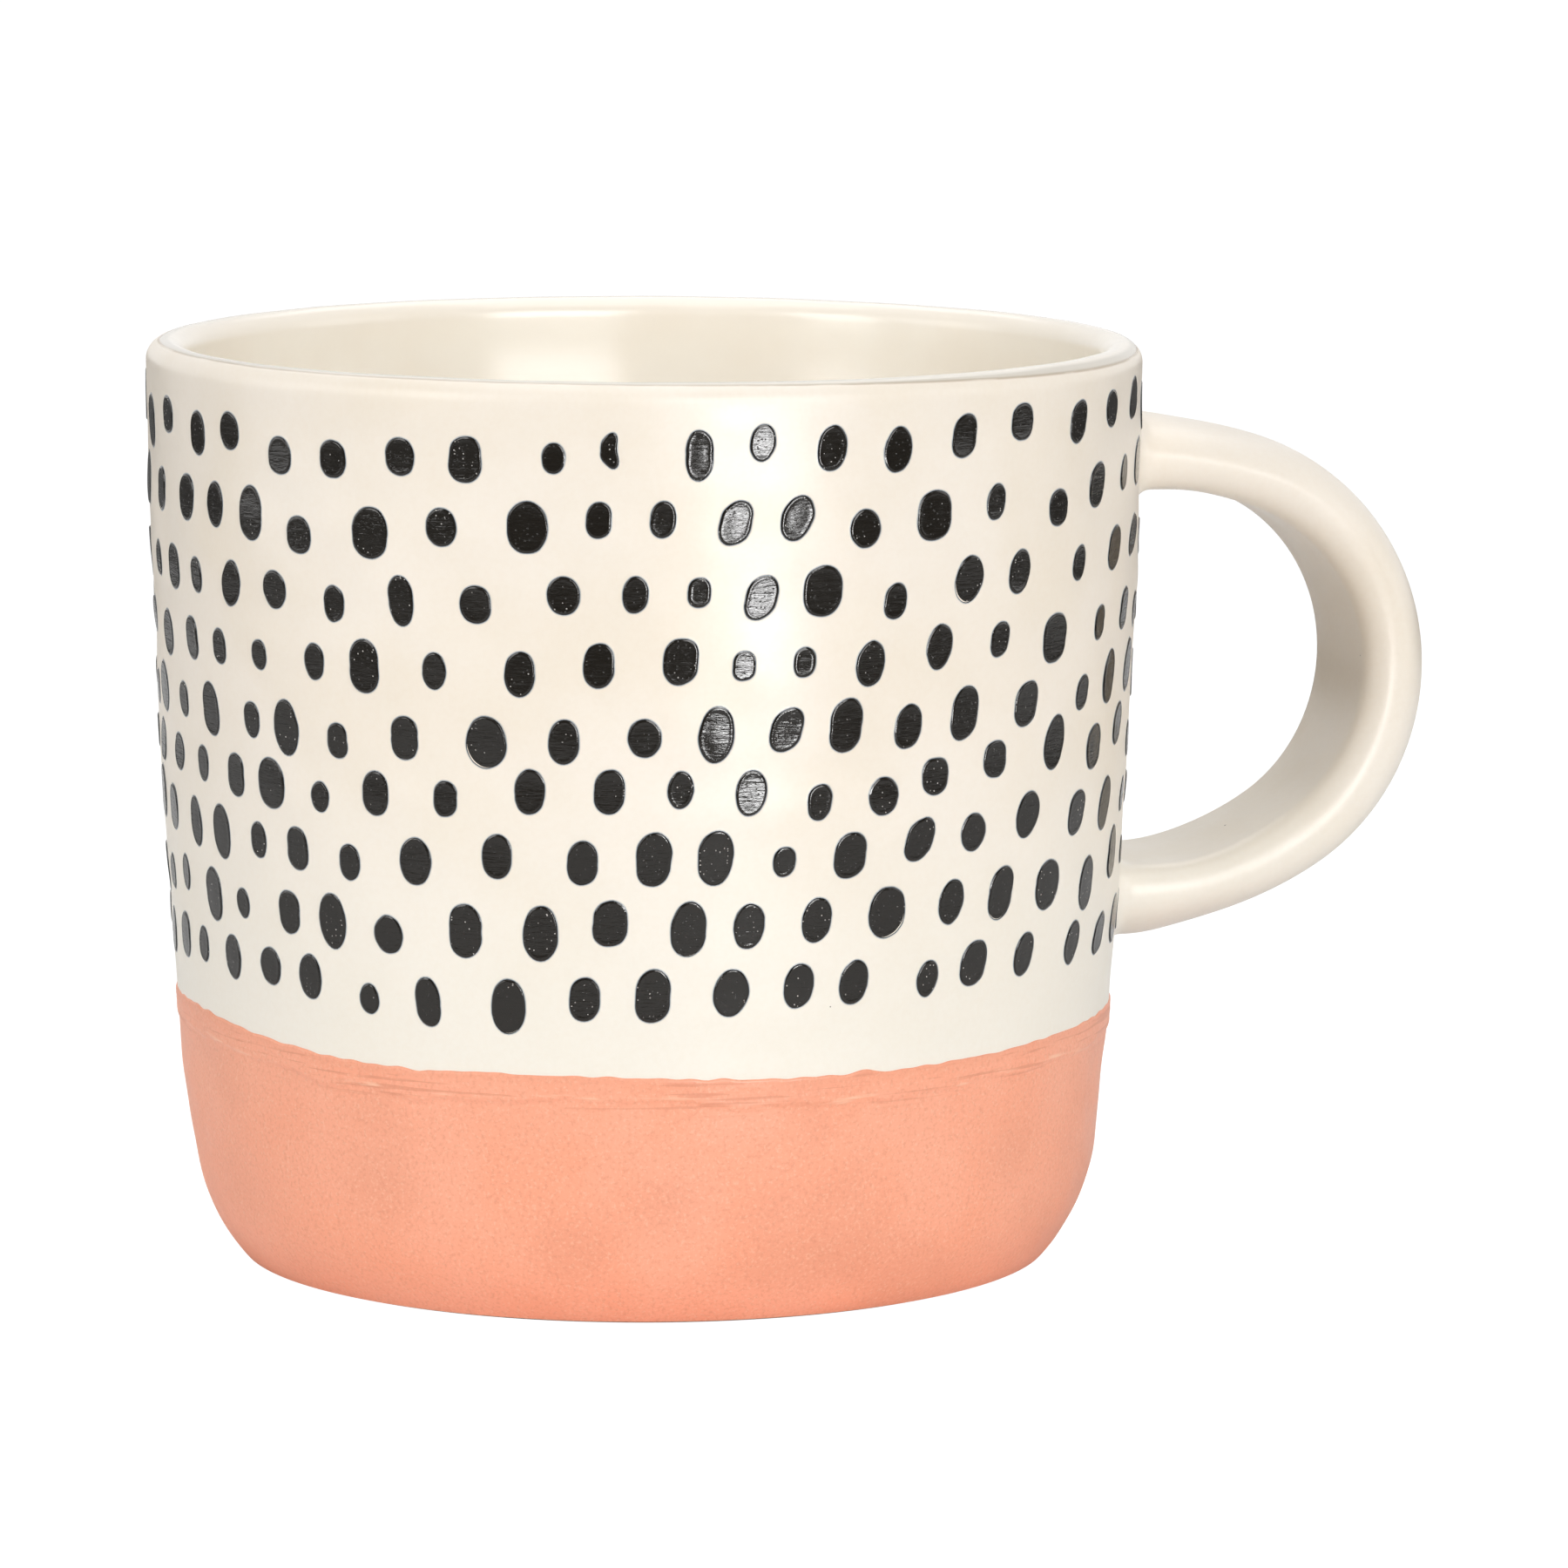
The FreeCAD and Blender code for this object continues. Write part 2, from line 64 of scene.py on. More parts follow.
RIM_RADIUS = largest("outer_glaze", 1)
RIM_HEIGHT = largest("liner_glaze", 2)
BAND_RADIUS = largest("coral_band", 1)
BAND_HEIGHT = largest("coral_band", 2)
LIP_CURVE = 1.9
SHOULDER_HEIGHT = RIM_HEIGHT - LIP_CURVE
LIP_CENTRE = RIM_RADIUS - LIP_CURVE
WALL_CURVE = 880.0
HEEL_END_HEIGHT = 10.0  # just below where the heel hands over to the wall
HEEL_CENTRE = (25.594, 12.299)
HEEL_CURVE = 17.9
HEEL_ANGLES = (-43.4, -5.7)
BARE_ANGLE = -42.2  # the dipped band stops here, so that the foot stays bare
FLOOR_RADIUS = 30.4
FLOOR_HEIGHT = 6.5
INNER_CURVE = 9.0
INNER_ANGLE = -5.0
RECESS_RADIUS = 33.6
RECESS_EDGE_RADIUS = 34.2
RECESS_DEPTH = 1.5
TURNING_DEPTH = 0.05  # of the rings that the turning tool leaves in the recess


def arc(centre, radius, start, end, count):
    angles = np.radians(np.linspace(start, end, count))
    return np.stack([centre[0] + radius * np.cos(angles), centre[1] + radius * np.sin(angles)], 1)


def bowed_line(start, finish, count):
    """A line bowed out from the mug's axis, on the wall's large radius."""
    start, finish = np.array(start), np.array(finish)
    chord = finish - start
    length = math.hypot(*chord)
    share = np.linspace(0, 1, count)[:, None]
    outward = np.array([abs(chord[1]), -chord[0] * np.sign(chord[1])]) / length
    bow = share * (1 - share) * length**2 / (2 * WALL_CURVE)
    return start + chord * share + outward * bow


heel = arc(HEEL_CENTRE, HEEL_CURVE, *HEEL_ANGLES, 60)
inner_heel = arc((FLOOR_RADIUS, FLOOR_HEIGHT + INNER_CURVE), INNER_CURVE, INNER_ANGLE, -90, 60)
lip = arc((LIP_CENTRE, SHOULDER_HEIGHT), LIP_CURVE, 0, 180, 90)
lower_wall = bowed_line(heel[-1], (BAND_RADIUS, BAND_HEIGHT), 60)
upper_wall = bowed_line((BAND_RADIUS, BAND_HEIGHT), lip[0], 160)
inner_wall = bowed_line(lip[-1], inner_heel[0], 160)
floor_line = np.stack([np.linspace(FLOOR_RADIUS, 0, 60), np.full(60, FLOOR_HEIGHT)], 1)
stretches = (heel, lower_wall, upper_wall, lip, inner_wall, inner_heel, floor_line)
outline = np.concatenate([stretches[0]] + [stretch[1:] for stretch in stretches[1:]])
steps = np.hypot(*np.diff(outline, axis=0).T)
outline_length = np.concatenate([[0.0], np.cumsum(steps)])
tangent = np.gradient(outline, outline_length, axis=0)
tangent /= np.hypot(*tangent.T)[:, None]
outline_normal = np.stack([tangent[:, 1], -tangent[:, 0]], 1)

crown_length = outline_length[np.argmax(outline[:, 1])]
outside = outline_length <= crown_length
shoulder_length = crown_length - LIP_CURVE * math.pi / 2
total_length = outline_length[-1]


def length_at_height(height):
    """How far along the outline a height on the outside of the wall is."""
    return np.interp(height, outline[outside, 1], outline_length[outside])


def length_on_lip(angle):
    """How far along the outline a point of the lip is: 0 is its outermost point, 90 its crown."""
    return shoulder_length + LIP_CURVE * np.radians(angle)


def turned_by(azimuth, centre):
    """The angle from one azimuth to another, between -180 and 180 degrees."""
    return (azimuth - centre + 180) % 360 - 180


def smooth_step(low, high, value):
    share = np.clip((value - low) / (high - low), 0, 1)
    return share * share * (3 - 2 * share)


# relief: the small waves that hands leave in a thrown wall


class Waves:
    """A sum of seeded sine waves over azimuth and length, which closes on itself round the mug."""

    def __init__(self, seed, count, turns, lengths, height):
        random = np.random.default_rng(seed)
        self.turns = random.integers(turns[0], turns[1] + 1, count)
        self.pitch = 2 * math.pi / random.uniform(*lengths, count)
        self.start = random.uniform(0, 2 * math.pi, count)
        self.height = height * random.uniform(0.5, 1.0, count)

    def at(self, azimuth, along):
        total = 0.0
        for turns, pitch, start, height in zip(self.turns, self.pitch, self.start, self.height):
            total = total + height * np.sin(turns * np.radians(azimuth) + pitch * along + start)
        return total


lumps = Waves(11, 12, (0, 7), (22.0, 80.0), 0.035)
rings = Waves(12, 7, (-1, 1), (5.0, 15.0), 0.016)
knocks = Waves(13, 14, (8, 26), (9.0, 30.0), 0.011)
inner_rings = Waves(14, 8, (-1, 1), (7.0, 22.0), 0.03)
LEFT_BULGE = (FACING - 88, 19.0, 30.0, 6.5, 0.34)
# finger marks in the heel: azimuth, height, half width in degrees, half height and depth
DENTS = (
    (FACING - 9, 7.5, 6.0, 3.6, 0.16),
    (FACING + 3, 12.0, 7.0, 4.0, 0.12),
    (FACING + 24, 6.0, 8.0, 3.2, 0.12),
    (FACING - 34, 12.5, 7.0, 5.0, 0.13),
    (FACING + 52, 14.0, 6.0, 4.0, 0.12),
    (FACING - 62, 9.0, 8.0, 4.0, 0.10),
    (38.0, 10.0, 8.0, 4.0, 0.15),
    (84.0, 7.0, 7.0, 3.5, 0.14),
    (131.0, 12.0, 9.0, 4.5, 0.13),
)
# the wall is thickest inside here, and thins towards the lip
INNER_SWELL = 0.95
SWELL_HEIGHT = 71.5
SWELL_REACH = 7.5
RIM_DROP = 0.25  # the rim stands this much lower on one side
RIM_HIGH = FACING - 90
DROP_START_HEIGHT = 60
FOOT_RELIEF = (0.2, 4.0)  # heights between which the outside's waves grow from nothing
LIP_RELIEF = 0.4  # share of the outside's waves that is left on the lip


def bump_at(azimuth, height, place):
    centre, middle, half_width, half_height, size = place
    across = turned_by(azimuth, centre) / half_width
    return size * np.exp(-(across**2) - ((height - middle) / half_height) ** 2)


def relief(azimuth, along, height):
    """How far the glazed surface stands out from the even outline."""
    outer = lumps.at(azimuth, along) + rings.at(azimuth, along) + knocks.at(azimuth, along)
    outer = outer + bump_at(azimuth, height, LEFT_BULGE)
    for dent in DENTS:
        outer = outer - bump_at(azimuth, height, dent)
    outer = outer * smooth_step(*FOOT_RELIEF, height)
    inner = inner_rings.at(azimuth, along) * smooth_step(0.0, 6.0, total_length - along)
    inner = inner + INNER_SWELL * np.exp(-(((height - SWELL_HEIGHT) / SWELL_REACH) ** 2))
    inside = smooth_step(crown_length - 1.5, crown_length + 4.0, along)
    on_lip = smooth_step(shoulder_length - 3.0, shoulder_length, along) * (1 - inside)
    return outer * (1 - inside) * (1 - (1 - LIP_RELIEF) * on_lip) + inner * inside


def surface(azimuth, along, lift=0.0, relief_share=1.0):
    """Points of the mug's surface, lifted along its normal."""
    azimuth, along = np.broadcast_arrays(azimuth, along)
    radius = np.interp(along, outline_length, outline[:, 0])
    height = np.interp(along, outline_length, outline[:, 1])
    normal_out = np.interp(along, outline_length, outline_normal[:, 0])
    normal_up = np.interp(along, outline_length, outline_normal[:, 1])
    lift = lift + relief_share * relief(azimuth, along, height)
    tilt = ((1 - np.cos(np.radians(azimuth - RIM_HIGH))) / 2) ** 2
    drop = RIM_DROP * tilt * smooth_step(DROP_START_HEIGHT, RIM_HEIGHT, height)
    radius = radius + normal_out * lift
    height = height + normal_up * lift - drop
    turn = np.radians(azimuth)
    return np.stack([radius * np.cos(turn), radius * np.sin(turn), height], -1)


def wall_radius(azimuth, height):
    """The radius of the outside of the wall at a height."""
    point = surface(azimuth, length_at_height(height))
    return np.hypot(point[..., 0], point[..., 1])


# meshes


def make_piece(name, points, faces, replaced, material, sharp=40):
    """A mesh of points in millimetres that rides on the mug."""
    mesh = bpy.data.meshes.new(name)
    mesh.from_pydata((np.asarray(points) * MM).tolist(), [], faces)
    mesh.validate()
    mesh.shade_smooth()
    mesh.set_sharp_from_angle(angle=math.radians(sharp))
    piece = bpy.data.objects.new(name, mesh)
    bpy.context.scene.collection.objects.link(piece)
    mesh.materials.append(material)
    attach(piece, "root")
    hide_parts(replaced)
    return piece


def add_attribute(piece, name, values):
    attribute = piece.data.attributes.new(name, "FLOAT", "POINT")
    attribute.data.foreach_set("value", np.asarray(values, np.float32).ravel())


def ring_faces(rows, around, closed):
    """Quads between rows of points that go round, with the last row joined to the first if closed."""
    row, column = np.meshgrid(np.arange(rows if closed else rows - 1), np.arange(around), indexing="ij")
    following = (row + 1) % rows
    beside = (column + 1) % around
    quads = [row * around + column, row * around + beside, following * around + beside]
    quads.append(following * around + column)
    return np.stack(quads, -1).reshape(-1, 4).tolist()


def cap_faces(row, around, pole, facing_first):
    """Triangles from one row of points to a pole."""
    faces = []
    for column in range(around):
        edge = (row * around + column, row * around + (column + 1) % around)
        faces.append((*edge, pole) if facing_first else (*edge[::-1], pole))
    return faces


azimuths = np.arange(AROUND) * 360.0 / AROUND


def all_round(value):
    return np.full(AROUND, value)


def spread(shares, start, end):
    """Rows of lengths between two lengths that vary round the mug."""
    return start + (end - start) * np.asarray(shares)[:, None]


# where the glazes meet


def from_front(azimuth):
    return turned_by(azimuth, FACING)


brush = Waves(21, 26, (14, 110), (50.0, 60.0), 0.016)
sweep = Waves(22, 5, (2, 7), (50.0, 60.0), 0.12)
step_wander = Waves(23, 16, (3, 40), (50.0, 60.0), 0.13)
CREAM_OVERLAP = 2.3  # how far the cream runs down under the dipped band
SEAM_ANGLE = 71
SEAM_SAG = (FACING + 68, 42, 33)  # where the seam runs low: azimuth, half width and depth, in degrees
SEAM_WANDER = 2.5
# nicks and steps in the dipped edge: azimuth, half width in degrees and height
NICKS = (
    (FACING - 46.0, 1.6, 0.22),
    (FACING - 27.5, 1.1, -0.18),
    (FACING - 19.0, 2.2, 0.10),
    (FACING + 27.0, 1.4, 0.30),
    (FACING + 22.0, 3.0, 0.12),
    (FACING + 47.0, 2.4, -0.14),
    (24.0, 1.5, 0.25),
    (77.0, 2.0, -0.25),
    (118.0, 1.3, 0.3),
)


def band_edge(azimuth):
    """The height of the dipped band's upper edge."""
    front = from_front(azimuth)
    edge = BAND_HEIGHT + 0.1 - 0.75 * np.exp(-(((front - 12) / 40) ** 2))
    edge = edge + 1.5 * np.exp(-(((front + 78) / 26) ** 2)) + brush.at(azimuth, 0) + sweep.at(azimuth, 0)
    for centre, half_width, size in NICKS:
        edge = edge + size * np.exp(-((turned_by(azimuth, centre) / half_width) ** 2))
    return edge


def cream_end(azimuth):
    """The height of the cream glaze's lower edge, which the dipped band hides."""
    return band_edge(azimuth) - CREAM_OVERLAP - 0.8 * step_wander.at(azimuth, 0)


def seam_length(azimuth):
    """Where the liner, rolled over the lip, meets the cream glaze outside."""
    centre, half_width, depth = SEAM_SAG
    lower = depth * np.exp(-((turned_by(azimuth, centre) / half_width) ** 2))
    return length_on_lip(SEAM_ANGLE - lower + SEAM_WANDER * sweep.at(azimuth, 3.0))


edge_length = length_at_height(band_edge(azimuths))
end_length = length_at_height(cream_end(azimuths))
seam = seam_length(azimuths)


# materials


RANGE_ENDS = ("From Min", "From Max", "To Min", "To Max")


class Look:
    """A material with a Principled shader, and short calls that add nodes to it."""

    def __init__(self, name):
        self.material = bpy.data.materials.new(name)
        self.material.use_nodes = True
        self.tree = self.material.node_tree
        self.shader = self.tree.nodes["Principled BSDF"]
        coordinates = self.tree.nodes.new("ShaderNodeTexCoord")
        self.place = self.tree.nodes.new("ShaderNodeMapping")
        self.place.inputs["Scale"].default_value = (1 / MM,) * 3
        self.tree.links.new(coordinates.outputs["Object"], self.place.inputs["Vector"])

    def link(self, value, socket):
        if isinstance(value, bpy.types.NodeSocket):
            self.tree.links.new(value, socket)
        elif hasattr(value, "__len__") and len(value) == 3 and socket.type == "RGBA":
            socket.default_value = (*value, 1.0)
        else:
            socket.default_value = value

    def set(self, **values):
        for name, value in values.items():
            self.link(value, self.shader.inputs[name.replace("_", " ")])

    def stretched(self, x, y, z):
        node = self.tree.nodes.new("ShaderNodeMapping")
        node.inputs["Scale"].default_value = (x, y, z)
        self.link(self.place.outputs[0], node.inputs["Vector"])
        return node.outputs[0]

    def noise(self, size, detail=3.0, roughness=0.5, vector=None):
        """Noise with features of a size in millimetres, from 0 to 1."""
        node = self.tree.nodes.new("ShaderNodeTexNoise")
        self.link(vector or self.place.outputs[0], node.inputs["Vector"])
        node.inputs["Scale"].default_value = 1 / size
        node.inputs["Detail"].default_value = detail
        node.inputs["Roughness"].default_value = roughness
        return node.outputs["Fac"]

    def cells(self, size):
        """Distance to scattered points a size apart, and a random grey for each point."""
        node = self.tree.nodes.new("ShaderNodeTexVoronoi")
        self.link(self.place.outputs[0], node.inputs["Vector"])
        node.inputs["Scale"].default_value = 1 / size
        parts = self.tree.nodes.new("ShaderNodeSeparateColor")
        self.link(node.outputs["Color"], parts.inputs[0])
        return node.outputs["Distance"], parts.outputs[0]

    def attribute(self, name):
        node = self.tree.nodes.new("ShaderNodeAttribute")
        node.attribute_name = name
        return node.outputs["Fac"]

    def height(self):
        node = self.tree.nodes.new("ShaderNodeSeparateXYZ")
        self.link(self.place.outputs[0], node.inputs[0])
        return node.outputs["Z"]

    def range(self, value, low, high, to_low=0.0, to_high=1.0):
        node = self.tree.nodes.new("ShaderNodeMapRange")
        node.interpolation_type = "SMOOTHSTEP"
        self.link(value, node.inputs["Value"])
        for name, number in zip(RANGE_ENDS, (low, high, to_low, to_high)):
            self.link(number, node.inputs[name])
        return node.outputs[0]

    def math(self, operation, first, second=0.0):
        node = self.tree.nodes.new("ShaderNodeMath")
        node.operation = operation
        self.link(first, node.inputs[0])
        self.link(second, node.inputs[1])
        return node.outputs[0]

    def mix(self, share, first, second, blend="MIX"):
        node = self.tree.nodes.new("ShaderNodeMix")
        node.data_type = "RGBA"
        node.blend_type = blend
        self.link(share, node.inputs[0])
        self.link(first, node.inputs[6])
        self.link(second, node.inputs[7])
        return node.outputs[2]

    def bump(self, height, depth, below=None):
        """Bump of a depth in millimetres, on top of another bump."""
        node = self.tree.nodes.new("ShaderNodeBump")
        node.inputs["Strength"].default_value = 1.0
        node.inputs["Distance"].default_value = depth * MM
        self.link(height, node.inputs["Height"])
        if below is not None:
            self.link(below, node.inputs["Normal"])
        return node.outputs[0]


CREAM = (0.905, 0.83, 0.73)
CREAM_THIN = (0.87, 0.785, 0.665)
CREAM_COOL = (0.845, 0.82, 0.735)
LINER = (0.95, 0.895, 0.79)
LINER_THIN = (0.93, 0.86, 0.745)
LIP_SHADE_GREY = (0.60, 0.555, 0.48)
SEAM_BROWN = (0.42, 0.32, 0.22)
SPECK = (0.10, 0.075, 0.05)


def specks(look, colour, size, share, radius):
    """Scatter small iron specks over a colour."""
    distance, pick = look.cells(size)
    near = look.range(distance, radius / size, 0.45 * radius / size, 0.0, 1.0)
    chosen = look.range(pick, 1 - share, 1 - share + 0.01)
    return look.mix(look.math("MULTIPLY", near, chosen), colour, SPECK)


def cream_colour(look):
    """The cream glaze: faintly clouded, cooler low down, with rare iron specks."""
    clouds = look.range(look.noise(16.0, 3.0), 0.36, 0.68)
    colour = look.mix(clouds, CREAM, CREAM_THIN)
    low = look.range(look.height(), 60.0, 20.0, 0.0, 0.75)
    colour = look.mix(low, colour, CREAM_COOL)
    grain = look.range(look.noise(0.55, 4.0, 0.6), 0.3, 0.75, 0.0, 0.10)
    colour = look.mix(grain, colour, CREAM_THIN, "MULTIPLY")
    colour = specks(look, colour, 8.5, 0.20, 0.17)
    return specks(look, colour, 3.7, 0.10, 0.09)


def satin_bump(look):
    peel = look.bump(look.noise(1.1, 2.0), 0.010)
    return look.bump(look.noise(0.3, 2.0), 0.0022, peel)


def cream_look():
    look = Look("cream satin glaze")
    look.set(
        Base_Color=cream_colour(look),
        Roughness=look.range(look.noise(7.0), 0.3, 0.7, 0.30, 0.40),
        IOR=1.5,
        Normal=satin_bump(look),
    )
    return look


def wall_look():
    """The cream glaze outside, browner where it thins at the seam on the lip."""
    look = Look("cream satin glaze on the wall")
    line = look.range(look.attribute("from_seam"), 0.30, 0.0, 0.0, 1.0)
    patches = look.range(look.noise(5.0, 3.0), 0.36, 0.60, 0.35, 0.9)
    colour = look.mix(look.math("MULTIPLY", line, patches), cream_colour(look), SEAM_BROWN)
    look.set(
        Base_Color=colour,
        Roughness=look.range(look.noise(7.0), 0.3, 0.7, 0.30, 0.40),
        IOR=1.5,
        Normal=satin_bump(look),
    )
    return look


def liner_look():
    look = Look("beige liner glaze")
    clouds = look.range(look.noise(11.0, 3.0), 0.35, 0.7)
    colour = look.mix(clouds, LINER, LINER_THIN)
    rolled = look.range(look.attribute("from_seam"), 5.0, 1.0, 0.0, 0.85)
    colour = look.mix(rolled, colour, CREAM)
    # painted shade: a grey band on the lip top within about a millimetre of the seam, where the liner
    # also thins
    thin = look.range(look.attribute("from_seam"), 1.2, 0.6, 0.0, 0.75)
    colour = look.mix(thin, colour, LIP_SHADE_GREY)
    line = look.range(look.attribute("from_seam"), 0.22, 0.0, 0.0, 0.55)
    colour = look.mix(line, colour, SEAM_BROWN)
    colour = specks(look, colour, 6.0, 0.12, 0.12)
    look.set(
        Base_Color=colour,
        Roughness=look.range(look.noise(9.0), 0.3, 0.7, 0.18, 0.24),
        IOR=1.6,
        Normal=satin_bump(look),
    )
    return look


CORAL = (0.91, 0.375, 0.232)
CORAL_PALE = (0.915, 0.40, 0.258)
CORAL_DEEP = (0.79, 0.325, 0.20)
CORAL_GRAIN = (0.68, 0.255, 0.15)
CORAL_STREAK = (0.95, 0.56, 0.38)


def coral_look():
    """The dipped band: cloudy and finely grained, streaked where it thins over the cream glaze, and
    darkened with painted shade in its finger dents.
    """
    look = Look("coral satin glaze")
    clouds = look.range(look.noise(10.0, 2.0), 0.32, 0.68)
    colour = look.mix(clouds, CORAL, CORAL_PALE)
    shade = look.range(look.noise(14.0, 3.0, 0.45), 0.48, 0.70, 0.0, 0.5)
    colour = look.mix(shade, colour, CORAL_DEEP)
    # painted shade: the band's colour is darker in the finger dents, by how deep they are
    dent_shade = look.range(look.attribute("dent"), 0.01, 0.15, 0.0, 0.55)
    colour = look.mix(dent_shade, colour, CORAL_DEEP)
    grain = look.range(look.noise(0.34, 3.0, 0.65), 0.46, 0.70, 0.0, 0.40)
    colour = look.mix(grain, colour, CORAL_GRAIN)
    pale = look.range(look.noise(0.30, 2.0, 0.6), 0.52, 0.72, 0.0, 0.42)
    colour = look.mix(pale, colour, CORAL_STREAK)
    below_edge = look.attribute("below_edge")
    colour = look.mix(look.range(below_edge, 1.4, 0.1, 0.0, 0.35), colour, CORAL_DEEP)
    drawn = look.noise(1.3, 3.0, 0.55, look.stretched(0.10, 0.10, 2.6))
    near_edge = look.math("MULTIPLY", look.range(below_edge, 0.15, 0.5), look.range(below_edge, 4.2, 2.2))
    lines = look.math("MULTIPLY", look.range(drawn, 0.56, 0.64, 0.0, 0.55), near_edge)
    colour = look.mix(lines, colour, CORAL_GRAIN)
    streaks = look.noise(2.2, 3.0, 0.6, look.stretched(0.35, 0.35, 3.0))
    on_ridge = look.range(look.attribute("ridge"), 0.2, 1.0, 0.0, 1.0)
    thin = look.math("MULTIPLY", look.range(streaks, 0.5, 0.68, 0.0, 0.8), on_ridge)
    colour = look.mix(thin, colour, CORAL_STREAK)
    colour = specks(look, colour, 7.0, 0.16, 0.16)
    grit = look.bump(look.noise(0.45, 3.0, 0.6), 0.012)
    look.set(
        Base_Color=colour,
        Roughness=look.range(look.noise(5.0), 0.3, 0.7, 0.36, 0.48),
        IOR=1.48,
        Normal=look.bump(look.noise(3.0, 2.0), 0.02, grit),
    )
    return look


BLACK = (0.0100, 0.0078, 0.0052)
PINHOLE = (0.62, 0.59, 0.55)
BLEED = (0.19, 0.235, 0.28)


def dot_look():
    """Glossy black glaze with brush strokes, pits and pinholes, and a blue-grey bleed round its edge."""
    look = Look("black glaze")
    inside = look.attribute("inside")
    bleed = look.mix(look.range(inside, 0.0, 0.45), cream_colour(look), BLEED)
    colour = look.mix(look.range(inside, 0.42, 0.85), bleed, BLACK)
    well_inside = look.range(inside, 0.8, 1.0)
    distance, pick = look.cells(0.36)
    hole = look.math("MULTIPLY", look.range(distance, 0.24, 0.10), look.range(pick, 0.74, 0.78))
    crowded = look.range(look.noise(9.0, 2.0), 0.45, 0.62, 0.0, 0.9)
    shown = look.math("MULTIPLY", look.math("MULTIPLY", hole, crowded), well_inside)
    colour = look.mix(shown, colour, PINHOLE)
    strokes = look.noise(0.9, 3.0, 0.65, look.stretched(0.45, 0.45, 2.8))
    brushed = look.bump(look.math("MULTIPLY", strokes, well_inside), 0.03)
    pits = look.math("MULTIPLY", look.range(distance, 0.26, 0.08), look.range(pick, 0.45, 0.5))
    sunk = look.math("MULTIPLY", look.math("MULTIPLY", pits, well_inside), -1.0)
    pitted = look.bump(sunk, 0.03, brushed)
    gloss = look.range(strokes, 0.35, 0.7, 0.07, 0.18)
    look.set(
        Base_Color=colour,
        Roughness=look.math("MAXIMUM", gloss, look.range(inside, 0.3, 0.8, 0.34, 0.07)),
        IOR=1.5,
        Normal=pitted,
    )
    return look


CLAY = (0.50, 0.375, 0.26)
CLAY_DARK = (0.36, 0.26, 0.175)
GROG = (0.20, 0.14, 0.095)


def clay_look(name, dark):
    """Bare fired stoneware, with coarse grains in it."""
    look = Look(name)
    clouds = look.range(look.noise(6.0, 4.0), 0.35, 0.68)
    colour = look.mix(clouds, CLAY, dark)
    distance, pick = look.cells(0.8)
    grog = look.math("MULTIPLY", look.range(distance, 0.32, 0.15), look.range(pick, 0.7, 0.75, 0.0, 0.7))
    colour = look.mix(grog, colour, GROG)
    scratches = look.bump(look.noise(0.35, 3.0, 0.65), 0.05)
    look.set(
        Base_Color=colour,
        Roughness=look.range(look.noise(1.5), 0.3, 0.7, 0.72, 0.9),
        Normal=look.bump(look.noise(2.5, 2.0), 0.05, scratches),
    )
    return look


looks = {
    "clay": clay_look("bare stoneware", CLAY_DARK),
    "slip": clay_look("slip", CLAY),
    "cream": cream_look(),
    "wall": wall_look(),
    "liner": liner_look(),
    "coral": coral_look(),
    "black": dot_look(),
}


# the wall's coats, each a closed shell


def make_shell(name, outer, inner, replaced, look):
    """A coat between an outer and an inner grid of points, joined at both of their edges."""
    grid = np.concatenate([outer, inner[::-1]])
    faces = ring_faces(len(grid), AROUND, True)
    return make_piece(name, grid.reshape(-1, 3), faces, replaced, look.material)


def seam_groove(from_seam):
    """The shallow groove where the liner and the cream glaze meet."""
    return -0.05 * np.exp(-((from_seam / 0.16) ** 2))


def make_cream_wall():
    """The cream glaze outside, from under the dipped band up to the seam on the lip."""
    above_band = length_at_height(26.5)
    below_lip = all_round(length_at_height(83.0))
    low = spread(np.linspace(0, 1, 10)[:-1], end_length, above_band)
    wall = spread(np.linspace(0, 1, 88), above_band, below_lip)
    top = spread(np.linspace(0, 1, 26)[1:], below_lip, seam)
    along = np.concatenate([low, wall, top])
    from_seam = seam - along
    outer = surface(azimuths, along, seam_groove(from_seam))
    inner = surface(azimuths, along, -COAT, 0.0)
    piece = make_shell("cream_wall_glaze", outer, inner, "outer_glaze", looks["wall"])
    add_attribute(piece, "from_seam", np.concatenate([from_seam, from_seam[::-1]]))
    return piece


def make_liner():
    """The glaze inside, from the seam on the lip down to the middle of the floor."""
    after_lip = all_round(length_on_lip(180) + 1.0)
    heel_end = all_round(total_length - FLOOR_RADIUS)
    heel_start = heel_end - INNER_CURVE * math.pi / 2
    rim = spread(np.linspace(0, 1, 30)[:-1], seam, after_lip)
    wall = spread(np.linspace(0, 1, 75)[:-1], after_lip, heel_start)
    heel_rows = spread(np.linspace(0, 1, 30)[:-1], heel_start, heel_end)
    bottom = spread(np.linspace(0, 1, 24)[:-1], heel_end, total_length)
    along = np.concatenate([rim, wall, heel_rows, bottom])
    from_seam = along - seam
    outer = surface(azimuths, along, seam_groove(from_seam))
    inner = surface(azimuths, along, -COAT, 0.0)
    grid = np.concatenate([inner[::-1], outer])
    rows = len(grid)
    points = list(grid.reshape(-1, 3))
    points.append(surface(0.0, total_length, -COAT, 0.0))
    points.append(surface(0.0, total_length))
    faces = ring_faces(rows, AROUND, False)
    faces += cap_faces(0, AROUND, len(points) - 2, False)
    faces += cap_faces(rows - 1, AROUND, len(points) - 1, True)
    piece = make_piece(
        "liner_coat", np.array(points), faces, "liner_glaze", looks["liner"].material
    )
    far = [total_length] * 2
    both_sides = [from_seam[::-1].ravel(), from_seam.ravel()]
    add_attribute(piece, "from_seam", np.concatenate([*both_sides, far]))
    return piece


